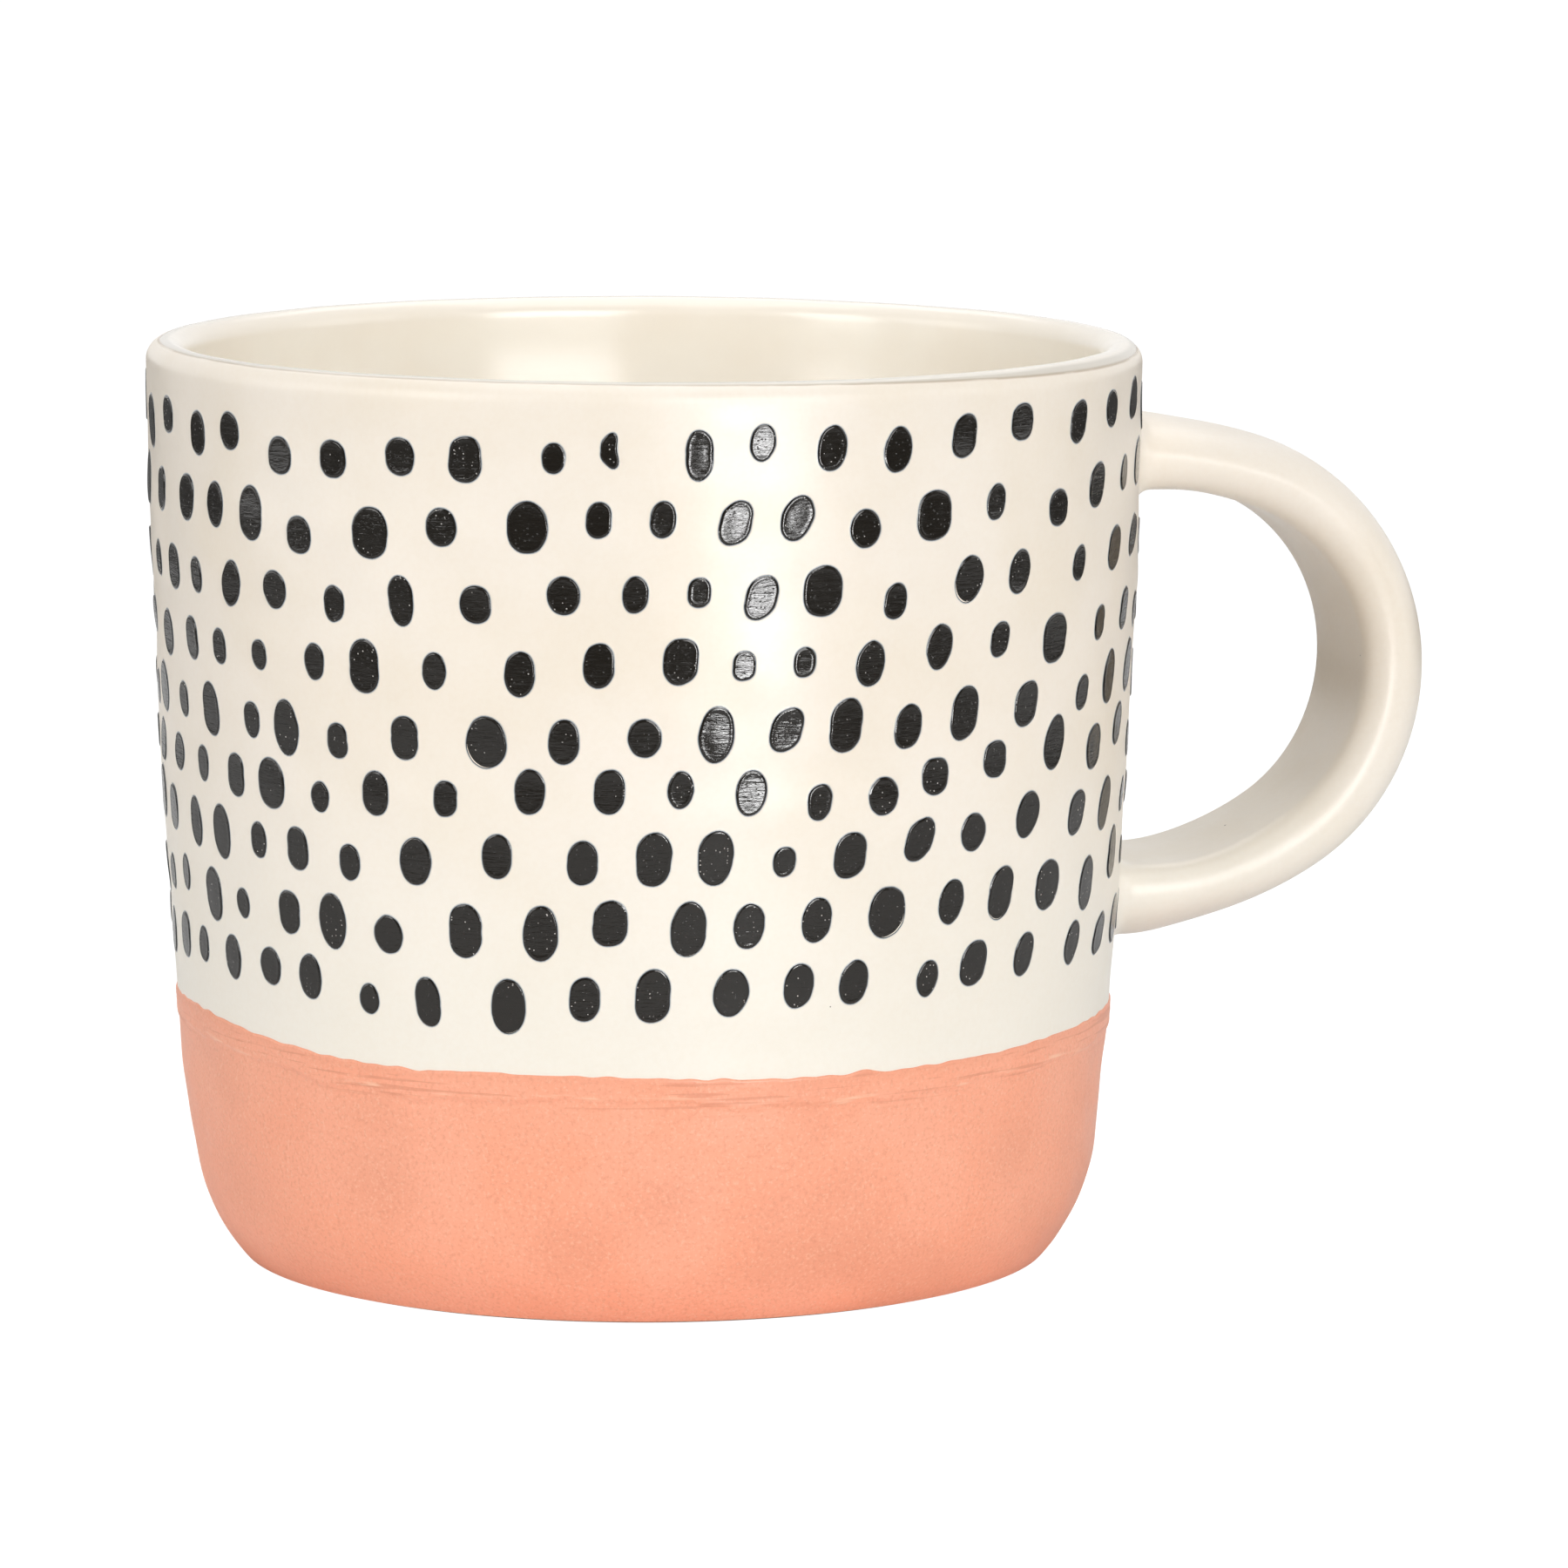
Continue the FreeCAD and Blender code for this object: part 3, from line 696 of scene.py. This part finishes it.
OVERLAP_LIFT = 0.15  # how far the band stands out where it lies over the cream
BAND_EDGE_ROWS = 4.5  # the band's rows of points are close together this far below its edge
dip_ridge = Waves(31, 18, (4, 60), (40.0, 60.0), 0.2)


def make_coral():
    """The dipped band, from just above the foot to its uneven edge, where it lies over the cream."""
    foot = all_round(HEEL_CURVE * math.radians(BARE_ANGLE - HEEL_ANGLES[0]))
    low = spread(np.linspace(0, 1, 56)[:-1], foot, edge_length - BAND_EDGE_ROWS)
    high = spread(np.linspace(0, 1, 42), edge_length - BAND_EDGE_ROWS, edge_length)
    along = np.concatenate([low, high])
    below_edge = edge_length - along
    above_end = along - end_length
    over_cream = smooth_step(-0.55, 0.1, above_end)
    rounding = 1 - np.sqrt(np.clip(below_edge / 0.22, 0, 1))
    ridge = np.exp(-((above_end / 0.35) ** 2))
    second = np.exp(-(((below_edge - 1.1 - dip_ridge.at(azimuths, 0)) / 0.16) ** 2))
    lift = OVERLAP_LIFT * over_cream * (1 - rounding) - 0.03 * rounding
    lift = lift + 0.03 * ridge + 0.03 * second * (below_edge > 0.4)
    outer = surface(azimuths, along, lift)
    on_clay = (along < end_length)[..., None]
    inner = np.where(on_clay, surface(azimuths, along, -COAT, 0.0), surface(azimuths, along, -0.04))
    piece = make_shell("coral_dipped_band", outer, inner, "coral_band", looks["coral"])
    add_attribute(piece, "below_edge", np.concatenate([below_edge, below_edge[::-1]]))
    add_attribute(piece, "ridge", np.concatenate([ridge, ridge[::-1]]))
    # how deep the finger dents are, for the painted shade that darkens the band in them
    height = np.interp(along, outline_length, outline[:, 1])
    dent = sum(bump_at(azimuths, height, place) for place in DENTS)
    add_attribute(piece, "dent", np.concatenate([dent, dent[::-1]]))
    return piece


def make_clay():
    """The bare foot and its turned recess, with the clay wall under the glazes."""
    along = np.concatenate(
        [
            np.linspace(0, length_at_height(HEEL_END_HEIGHT), 16)[:-1],
            np.linspace(length_at_height(HEEL_END_HEIGHT), shoulder_length, 40)[:-1],
            np.linspace(shoulder_length, length_on_lip(180), 24)[:-1],
            np.linspace(length_on_lip(180), total_length, 60)[:-1],
        ]
    )
    glazed = surface(azimuths, along[:, None] + np.zeros(AROUND), -COAT, 0.0)
    glazed[0, :, 2] = np.maximum(glazed[0, :, 2], 0.0)
    radii = [12 + 21.4 * (row / 48) for row in range(49)]
    turned = [(radius, RECESS_DEPTH + TURNING_DEPTH * math.sin(radius * 3.1)) for radius in radii]
    profile = [*turned, (RECESS_RADIUS, RECESS_DEPTH - 0.25), (RECESS_EDGE_RADIUS - 0.1, 0.25)]
    profile += [(RECESS_EDGE_RADIUS + 0.15, 0.03), (RECESS_EDGE_RADIUS + 0.4, 0.0), (36.2, 0.0)]
    profile += [(37.6, 0.0), (38.0, 0.03), (38.25, 0.2)]
    turn = np.radians(azimuths)
    under = [np.stack([r * np.cos(turn), r * np.sin(turn), np.full(AROUND, z)], -1) for r, z in profile]
    grid = np.concatenate([np.array(under), glazed[1:]])
    points = list(grid.reshape(-1, 3))
    points.append((0.0, 0.0, RECESS_DEPTH + 0.1))
    points.append(surface(0.0, total_length, -COAT, 0.0))
    faces = ring_faces(len(grid), AROUND, False)
    faces += cap_faces(0, AROUND, len(points) - 2, False)
    faces += cap_faces(len(grid) - 1, AROUND, len(points) - 1, True)
    material = looks["clay"].material
    return make_piece("clay_wall", np.array(points), faces, "mug_body", material)


# the handle

HANDLE_START = 42.0
HANDLE_LEAD = 3.5
HANDLE_HEIGHT = 76.3
HANDLE_ARCS = ((42.7, 19.6), (19.7, 127.4), (32.7, 37.4))
HANDLE_WIDTH = 18.6
# depths of the strap at its upper root, grip and lower root
INNER_DEPTH = (2.55, 2.6, 1.95)
OUTER_DEPTH = (2.55, 4.05, 3.75)
ROOT_FLARE = 0.5
ROOT_FLARE_LENGTH = 4.0
HANDLE_AROUND = 96
FILLET = 1.7
ROOT_SINK = 0.2  # how far the handle's coat runs into the wall
FREE_OF_WALL = 8  # a line of the handle this far out has left the wall for good
SLIP_EDGE = 0.4  # how far the slip under the roots stands out from the glazed wall


def handle_line(count):
    """Points and headings along the handle's centreline."""
    samples = [(HANDLE_START + step, HANDLE_HEIGHT, 0.0) for step in range(4)]
    x, z, heading = HANDLE_START + HANDLE_LEAD, HANDLE_HEIGHT, 0.0
    for curve, turn in HANDLE_ARCS:
        for share in np.linspace(0, 1, count):
            now = heading + math.radians(turn) * share
            across = curve * (math.sin(now) - math.sin(heading))
            down = curve * (math.cos(heading) - math.cos(now))
            samples.append((x + across, z - down, now))
        x, z, heading = samples[-1]
    line = np.array(samples)
    kept = np.concatenate([[True], np.hypot(*np.diff(line[:, :2], axis=0).T) > 1e-6])
    return line[kept]


handle_samples = handle_line(120)
handle_steps = np.hypot(*np.diff(handle_samples[:, :2], axis=0).T)
handle_along = np.concatenate([[0.0], np.cumsum(handle_steps)])
handle_wander = Waves(41, 8, (1, 3), (14.0, 45.0), 0.035)


def strap_section(around, inner, outer, half_width):
    """Distances through and across the strap: a half oval outside, flat with round corners inside."""
    turn = np.radians((around + 180) % 360 - 180)
    past = np.abs(turn) - math.pi / 2
    corner = np.clip(past * 1.5, 0, math.pi / 2)
    flat = np.clip((math.pi / 2 - past) / (math.pi / 6), 0, 1)
    inner_across = (half_width - inner) * flat + inner * np.cos(corner)
    through = np.where(past < 0, outer * np.cos(turn), -inner * np.sin(corner))
    across = np.where(past < 0, half_width * np.sin(np.abs(turn)), inner_across)
    return through, across * np.sign(turn)


def handle_surface(along, around, growth=0.0):
    """Points of the glazed handle, by length along its centreline and angle round its section."""
    x = np.interp(along, handle_along, handle_samples[:, 0])
    z = np.interp(along, handle_along, handle_samples[:, 1])
    heading = np.interp(along, handle_along, handle_samples[:, 2])
    share = np.clip((along - HANDLE_LEAD) / (handle_along[-1] - HANDLE_LEAD), 0, 1)
    bulge = np.sin(math.pi * share)
    weights = (1 - share - bulge / 2, bulge, share - bulge / 2)
    flare = ROOT_FLARE * np.exp(-((np.maximum(x - RIM_RADIUS, 0) / ROOT_FLARE_LENGTH) ** 2))
    thicker = COAT + growth + handle_wander.at(around, along)
    inner = sum(weight * depth for weight, depth in zip(weights, INNER_DEPTH)) + flare + thicker
    outer = sum(weight * depth for weight, depth in zip(weights, OUTER_DEPTH)) + flare + thicker
    through, across = strap_section(around, inner, outer, HANDLE_WIDTH / 2 + thicker)
    points_x = x + through * np.sin(heading)
    points_z = z + through * np.cos(heading)
    return np.stack([points_x, across + 0 * points_x, points_z], -1)


def clearance(points):
    """How far points stand out from the wall's surface."""
    azimuth = np.degrees(np.arctan2(points[..., 1], points[..., 0]))
    return np.hypot(points[..., 0], points[..., 1]) - wall_radius(azimuth, points[..., 2])


def root_rows(around, gaps, from_start):
    """Lengths along the handle where each of its lines is a gap away from the wall."""
    middle = handle_along[-1] / 2
    along = np.linspace(0, middle, 400) if from_start else np.linspace(handle_along[-1], middle, 400)
    rows = np.zeros((len(gaps), len(around)))
    for column, angle in enumerate(around):
        found = clearance(handle_surface(along, np.full(len(along), angle)))
        near = np.argmax(found > FREE_OF_WALL)
        rows[:, column] = np.interp(gaps, found[:near], along[:near])
    return rows


def on_wall(points, gaps):
    """Points moved out or in, so that they stand a gap away from the wall."""
    azimuth = np.degrees(np.arctan2(points[..., 1], points[..., 0]))
    wanted = wall_radius(azimuth, points[..., 2]) + gaps
    now = np.hypot(points[..., 0], points[..., 1])
    moved = points.copy()
    moved[..., 0] *= wanted / now
    moved[..., 1] *= wanted / now
    return moved


def make_handle_coat():
    """The handle's glazed surface, which runs into the wall with a soft fillet at each root."""
    around = np.arange(HANDLE_AROUND) * 360.0 / HANDLE_AROUND
    gaps = np.concatenate([[-ROOT_SINK], FILLET * (1 - np.cos(np.linspace(0.25, math.pi / 2, 9)))])
    growth = FILLET - np.sqrt(np.maximum(FILLET**2 - (FILLET - np.maximum(gaps, 0)) ** 2, 0))
    first = root_rows(around, gaps, True)
    last = root_rows(around, gaps, False)
    middle = spread(np.linspace(0, 1, 150)[1:-1], first[-1], last[-1])
    upper = on_wall(handle_surface(first, around, growth[:, None]), gaps[:, None])
    lower = on_wall(handle_surface(last, around, growth[:, None]), gaps[:, None])
    grid = np.concatenate([upper, handle_surface(middle, around), lower[::-1]])
    points = list(grid.reshape(-1, 3))
    points.append(grid[0].mean(0))
    points.append(grid[-1].mean(0))
    faces = ring_faces(len(grid), HANDLE_AROUND, False)
    faces += cap_faces(0, HANDLE_AROUND, len(points) - 2, False)
    faces += cap_faces(len(grid) - 1, HANDLE_AROUND, len(points) - 1, True)
    faces = [face[::-1] for face in faces]
    return make_piece(
        "handle_coat", np.array(points), faces, "handle_glaze", looks["cream"].material
    )


def make_strap(name, gaps, replaced, look):
    """A solid length of the unglazed strap, between gaps from the wall at its two ends."""
    around = np.arange(HANDLE_AROUND) * 360.0 / HANDLE_AROUND
    (first_gap, first_root), (last_gap, last_root) = gaps
    first = root_rows(around, [first_gap], first_root)[0]
    last = root_rows(around, [last_gap], last_root)[0]
    count = 4 if first_root == last_root else 90
    grid = handle_surface(spread(np.linspace(0, 1, count), first, last), around, -COAT)
    points = list(grid.reshape(-1, 3))
    points.append(grid[0].mean(0))
    points.append(grid[-1].mean(0))
    faces = ring_faces(count, HANDLE_AROUND, False)
    faces += cap_faces(0, HANDLE_AROUND, len(points) - 2, False)
    faces += cap_faces(count - 1, HANDLE_AROUND, len(points) - 1, True)
    if first_root:
        faces = [face[::-1] for face in faces]
    return make_piece(name, np.array(points), faces, replaced, looks[look].material)


# the dots

DOT_AROUND = 44
# insets from a dot's edge, and heights above the wall and shares of black there
DOT_RINGS = (
    (-0.26, -0.006, 0.0),
    (-0.18, 0.004, 0.06),
    (-0.10, 0.010, 0.20),
    (-0.03, 0.020, 0.44),
    (0.005, 0.04, 1.0),
    (0.05, 0.07, 1.0),
    (0.11, 0.095, 1.0),
    (0.18, 0.11, 1.0),
    (0.27, 0.11, 1.0),
    (0.38, 0.098, 1.0),
    (0.52, 0.092, 1.0),
)
DOT_MIDDLE = (0.62, 0.3)
DOT_TOP = 0.096
DOT_BOTTOM = -0.12
TILTED_ABOVE = 0.05  # the top of a dot leans a little, above this height
HALF_MOON_FILL = 0.7  # a half moon fills its box less than this share of what an oval does


def islands(node):
    """The separate solids of a CAD node, each as its corners in millimetres, in order of azimuth."""
    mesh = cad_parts[node].data
    corners = np.zeros(len(mesh.vertices) * 3)
    mesh.vertices.foreach_get("co", corners)
    corners = corners.reshape(-1, 3) / MM
    places, index = np.unique(np.round(corners, 3), axis=0, return_inverse=True)
    index = index.ravel()
    ends = np.zeros(len(mesh.edges) * 2, int)
    mesh.edges.foreach_get("vertices", ends)
    edges = index[ends.reshape(-1, 2)]
    label = np.arange(len(places))
    while True:
        lowest = np.minimum(label[edges[:, 0]], label[edges[:, 1]])
        updated = label.copy()
        np.minimum.at(updated, edges[:, 0], lowest)
        np.minimum.at(updated, edges[:, 1], lowest)
        if np.array_equal(updated, label):
            break
        label = updated
    found = [places[label == value] for value in np.unique(label)]
    return sorted(found, key=lambda solid: math.atan2(*solid.mean(0)[1::-1]))


def turns_left(first, second, third):
    rise = (second[0] - first[0]) * (third[1] - first[1])
    return rise > (second[1] - first[1]) * (third[0] - first[0])


def hull(points):
    """The convex outline of points in a plane, counter-clockwise."""
    ordered = sorted(map(tuple, points))
    sides = []
    for run in (ordered, ordered[::-1]):
        side = []
        for point in run:
            while len(side) > 1 and not turns_left(side[-2], side[-1], point):
                side.pop()
            side.append(point)
        sides += side[:-1]
    return np.array(sides)


def edge_distances(corners, centre, directions):
    """How far a convex outline is from a point inside it, in each of several directions."""
    start = corners - centre
    side = np.roll(start, -1, axis=0) - start
    crossing = directions[:, None, 0] * side[None, :, 1] - directions[:, None, 1] * side[None, :, 0]
    with np.errstate(divide="ignore", invalid="ignore"):
        reach = (start[:, 0] * side[:, 1] - start[:, 1] * side[:, 0])[None] / crossing
    reach[~(crossing > 1e-9)] = np.inf
    return reach.min(1)


def smoothed(values, kept):
    """Values on a ring, without the waves that repeat more often than a number of times."""
    waves = np.fft.rfft(values)
    waves *= np.exp(-((np.arange(len(waves)) / kept) ** 4))
    return np.fft.irfft(waves, len(values))


def dot_points(solid, random):
    """The rings of one dot, on the wall, from its outline in the CAD."""
    middle = np.degrees(np.arctan2(*solid.mean(0)[1::-1]))
    radius = np.hypot(solid[:, 0], solid[:, 1]).mean()
    across = np.radians(turned_by(np.degrees(np.arctan2(solid[:, 1], solid[:, 0])), middle)) * radius
    corners = hull(np.stack([across, solid[:, 2]], 1))
    centre = (corners.max(0) + corners.min(0)) / 2
    turn = np.arange(DOT_AROUND) * 2 * math.pi / DOT_AROUND
    directions = np.stack([np.cos(turn), np.sin(turn)], 1)
    reach = edge_distances(corners, centre, directions)
    area = np.sum(reach**2) * math.pi / DOT_AROUND
    box_area = np.prod(corners.max(0) - corners.min(0))
    half_moon = area < HALF_MOON_FILL * math.pi / 4 * box_area
    reach = smoothed(reach, 9 if half_moon else 7)
    shape = 1 + random.uniform(-0.07, 0.07) * np.sin(turn) + random.uniform(-0.04, 0.04) * np.cos(turn)
    shape -= random.uniform(-0.01, 0.045) * np.cos(4 * turn)
    for order in (3, 5, 7, 10, 13):
        shape += 0.05 / order * random.uniform(0.1, 1) * np.sin(order * turn + random.uniform(0, 6.3))
    reach = reach * shape
    rise = random.uniform(0.85, 1.15)
    tilt = random.uniform(-0.035, 0.035, 2)
    rows = []
    inside = []
    for inset, height, black in DOT_RINGS:
        rows.append((np.maximum(reach - inset, 0.35 * reach), height))
        inside.append(black)
    inner = rows[-1][0]
    for share in DOT_MIDDLE:
        rows.append((inner * share, DOT_TOP))
        inside.append(1.0)
    centre_point = np.zeros(1)
    rows.append((centre_point, DOT_TOP))
    rows.append((rows[0][0], DOT_BOTTOM))
    rows.append((centre_point, DOT_BOTTOM))
    points = []
    for reached, height in rows:
        ways = directions[: len(reached)]
        local = centre + ways * reached[:, None]
        azimuth = middle + np.degrees(local[:, 0] / radius)
        lift = height
        if height > TILTED_ABOVE:
            lift = height * rise + (local - centre) @ tilt
        points.append(surface(azimuth, length_at_height(local[:, 1]), lift))
    return np.concatenate(points), inside + [1.0, 0.0, 0.0]


def dot_faces(start):
    """The faces of one dot, whose points begin at a number."""
    rings_up = len(DOT_RINGS) + len(DOT_MIDDLE)
    top = start + rings_up * DOT_AROUND
    low_ring = top + 1
    bottom = low_ring + DOT_AROUND
    faces = []
    for column in range(DOT_AROUND):
        beside = (column + 1) % DOT_AROUND
        for row in range(rings_up - 1):
            here = start + row * DOT_AROUND
            above = here + DOT_AROUND
            faces.append((here + column, here + beside, above + beside, above + column))
        last = start + (rings_up - 1) * DOT_AROUND
        faces.append((last + column, last + beside, top))
        faces.append((low_ring + column, low_ring + beside, start + beside, start + column))
        faces.append((low_ring + beside, low_ring + column, bottom))
    return faces


def make_dot_row(number):
    node = f"dot_row_{number}"
    random = np.random.default_rng(100 + number)
    points = []
    faces = []
    inside = []
    for solid in islands(node):
        dot, black = dot_points(solid, random)
        faces += dot_faces(sum(map(len, points)))
        points.append(dot)
        ring_count = len(DOT_RINGS) + len(DOT_MIDDLE)
        inside.append(np.repeat(black[:ring_count], DOT_AROUND))
        inside.append(np.concatenate([[1.0], np.zeros(DOT_AROUND), [0.0]]))
    piece = make_piece(
        f"dots_{number}", np.concatenate(points), faces, node, looks["black"].material, 60
    )
    add_attribute(piece, "inside", np.concatenate(inside))
    return piece


make_clay()
make_coral()
make_cream_wall()
make_liner()
make_handle_coat()
make_strap("handle_clay", ((SLIP_EDGE, True), (SLIP_EDGE, False)), "handle", "clay")
make_strap("upper_slip", ((-COAT, True), (SLIP_EDGE, True)), "upper_slip_joint", "slip")
make_strap("lower_slip", ((-COAT, False), (SLIP_EDGE, False)), "lower_slip_joint", "slip")
for number in range(1, 10):
    make_dot_row(number)


# camera

CAMERA_DISTANCE = 0.8
CAMERA_ELEVATION = math.radians(8.25)
CAMERA_PAN = math.radians(0.959)
CAMERA_PITCH = math.radians(-0.013)
CAMERA_TURN = math.radians(13.0)
LOOKED_AT = Vector((0.0, 0.0, 0.045))
LENS = 190.94

ahead = Vector((0.0, math.cos(CAMERA_ELEVATION), -math.sin(CAMERA_ELEVATION)))
right = Vector((1.0, 0.0, 0.0))
place = LOOKED_AT - ahead * CAMERA_DISTANCE
panned_ahead = right * math.sin(CAMERA_PAN) + ahead * math.cos(CAMERA_PAN)
panned_right = right * math.cos(CAMERA_PAN) - ahead * math.sin(CAMERA_PAN)
camera_data = bpy.data.cameras.new("camera")
camera_data.sensor_width = 36.0
camera_data.lens = LENS
camera_data.clip_start = 0.05
camera_data.clip_end = 50.0
camera = bpy.data.objects.new("camera", camera_data)
axes = Matrix((panned_right, panned_right.cross(panned_ahead), -panned_ahead)).transposed()
camera.matrix_world = (
    Matrix.Rotation(-CAMERA_TURN, 4, "Z")
    @ Matrix.Translation(place)
    @ axes.to_4x4()
    @ Matrix.Rotation(CAMERA_PITCH, 4, "X")
)
bpy.context.scene.collection.objects.link(camera)
bpy.context.scene.camera = camera


# the floor and the light


FLOOR_GLOW = 0.86  # share of the floor's own shading that the glow replaces
ROOM_LIGHT = 0.04
SHINE_FRONT = 0.2
SHINE_BACK = 1.1
BACKDROP = 1.1
TABLE_END = (320.0, 450.0)  # the white table fades out between these distances, in millimetres


def from_camera_side(degrees_right, distance, height):
    """A point by its direction from the mug, to the right of the camera's own direction."""
    turn = math.radians(FACING + degrees_right)
    return Vector((math.cos(turn) * distance, math.sin(turn) * distance, height))


def add_softbox(name, position, target, size, power):
    light = bpy.data.lights.new(name, "AREA")
    light.shape = "RECTANGLE"
    light.size, light.size_y = size
    light.energy = power
    box = bpy.data.objects.new(name, light)
    box.location = position
    box.rotation_euler = (target - position).to_track_quat("-Z", "Y").to_euler()
    bpy.context.scene.collection.objects.link(box)
    return box


def floor_look():
    """Matt white, dark far out, and for the camera mostly a glow, with a faint shadow under the foot."""
    look = Look("white floor")
    nodes = look.tree.nodes
    away = nodes.new("ShaderNodeVectorMath")
    away.operation = "DISTANCE"
    look.link(look.place.outputs[0], away.inputs[0])
    away.inputs[1].default_value = from_camera_side(180, 100.0, 0.0)
    white = look.range(away.outputs["Value"], TABLE_END[0], TABLE_END[1], 0.9, 0.12)
    colour = look.mix(white, (0.0, 0.0, 0.0), (1.0, 1.0, 1.0))
    look.set(Base_Color=colour, Roughness=0.7)
    glow = nodes.new("ShaderNodeEmission")
    glow.inputs["Strength"].default_value = 1.2
    seen = look.math("MULTIPLY", nodes.new("ShaderNodeLightPath").outputs["Is Camera Ray"], FLOOR_GLOW)
    mixed = nodes.new("ShaderNodeMixShader")
    look.link(seen, mixed.inputs[0])
    look.link(look.shader.outputs[0], mixed.inputs[1])
    look.link(glow.outputs[0], mixed.inputs[2])
    look.link(mixed.outputs[0], nodes["Material Output"].inputs["Surface"])
    return look


def make_floor():
    mesh = bpy.data.meshes.new("floor")
    reach = 12.0
    corners = [(-reach, -reach, 0), (reach, -reach, 0), (reach, reach, 0), (-reach, reach, 0)]
    mesh.from_pydata(corners, [], [(0, 1, 2, 3)])
    mesh.materials.append(floor_look().material)
    floor = bpy.data.objects.new("floor", mesh)
    bpy.context.scene.collection.objects.link(floor)
    return floor


def make_studio():
    """A white backdrop. What shines in the glazes is bright behind the mug and dim in front of it."""
    world = bpy.data.worlds.new("studio")
    bpy.context.scene.world = world
    world.use_nodes = True
    nodes = world.node_tree.nodes
    link = world.node_tree.links.new
    background = nodes["Background"]
    background.inputs["Color"].default_value = (1.0, 1.0, 1.0, 1.0)
    facing = nodes.new("ShaderNodeVectorMath")
    facing.operation = "DOT_PRODUCT"
    facing.inputs[1].default_value = from_camera_side(180, 1.0, 0.0)
    link(nodes.new("ShaderNodeTexCoord").outputs["Generated"], facing.inputs[0])
    shine = nodes.new("ShaderNodeMapRange")
    shine.interpolation_type = "SMOOTHSTEP"
    link(facing.outputs["Value"], shine.inputs["Value"])
    for name, number in zip(RANGE_ENDS, (-0.45, 0.5, SHINE_FRONT, SHINE_BACK)):
        shine.inputs[name].default_value = number
    rays = nodes.new("ShaderNodeLightPath")
    shone = nodes.new("ShaderNodeMapRange")
    link(rays.outputs["Is Glossy Ray"], shone.inputs["Value"])
    shone.inputs["To Min"].default_value = ROOM_LIGHT
    link(shine.outputs[0], shone.inputs["To Max"])
    seen = nodes.new("ShaderNodeMapRange")
    link(rays.outputs["Is Camera Ray"], seen.inputs["Value"])
    link(shone.outputs[0], seen.inputs["To Min"])
    seen.inputs["To Max"].default_value = BACKDROP
    link(seen.outputs[0], background.inputs["Strength"])


def light_scene():
    bpy.context.scene.view_settings.view_transform = "Standard"
    target = Vector((0.0, 0.0, 0.05))
    add_softbox("key", from_camera_side(24, 1.1, 0.42), target, (0.7, 0.7), 8.8)
    add_softbox("fill", from_camera_side(-53, 1.2, 0.5), target, (0.5, 0.8), 5.2)
    add_softbox("left", from_camera_side(-88, 1.1, 0.3), target, (0.6, 0.8), 2.6)
    add_softbox("right", from_camera_side(85, 1.1, 0.3), target, (0.6, 0.8), 1.9)
    add_softbox("back", from_camera_side(180, 0.7, 0.9), target, (0.8, 0.6), 2.2)
    add_softbox("top", Vector((0.0, 0.0, 1.1)), target, (0.9, 0.9), 4.2)
    # a low strip that only shines in the glazes, as on the dots just right of the middle
    upper_middle = Vector((0.0, 0.0, 0.070))
    strip = add_softbox("strip", from_camera_side(21.6, 0.244, 0.048), upper_middle, (0.056, 0.030), 0.13)
    strip.visible_camera = False
    strip.visible_diffuse = False


make_floor()
make_studio()
light_scene()
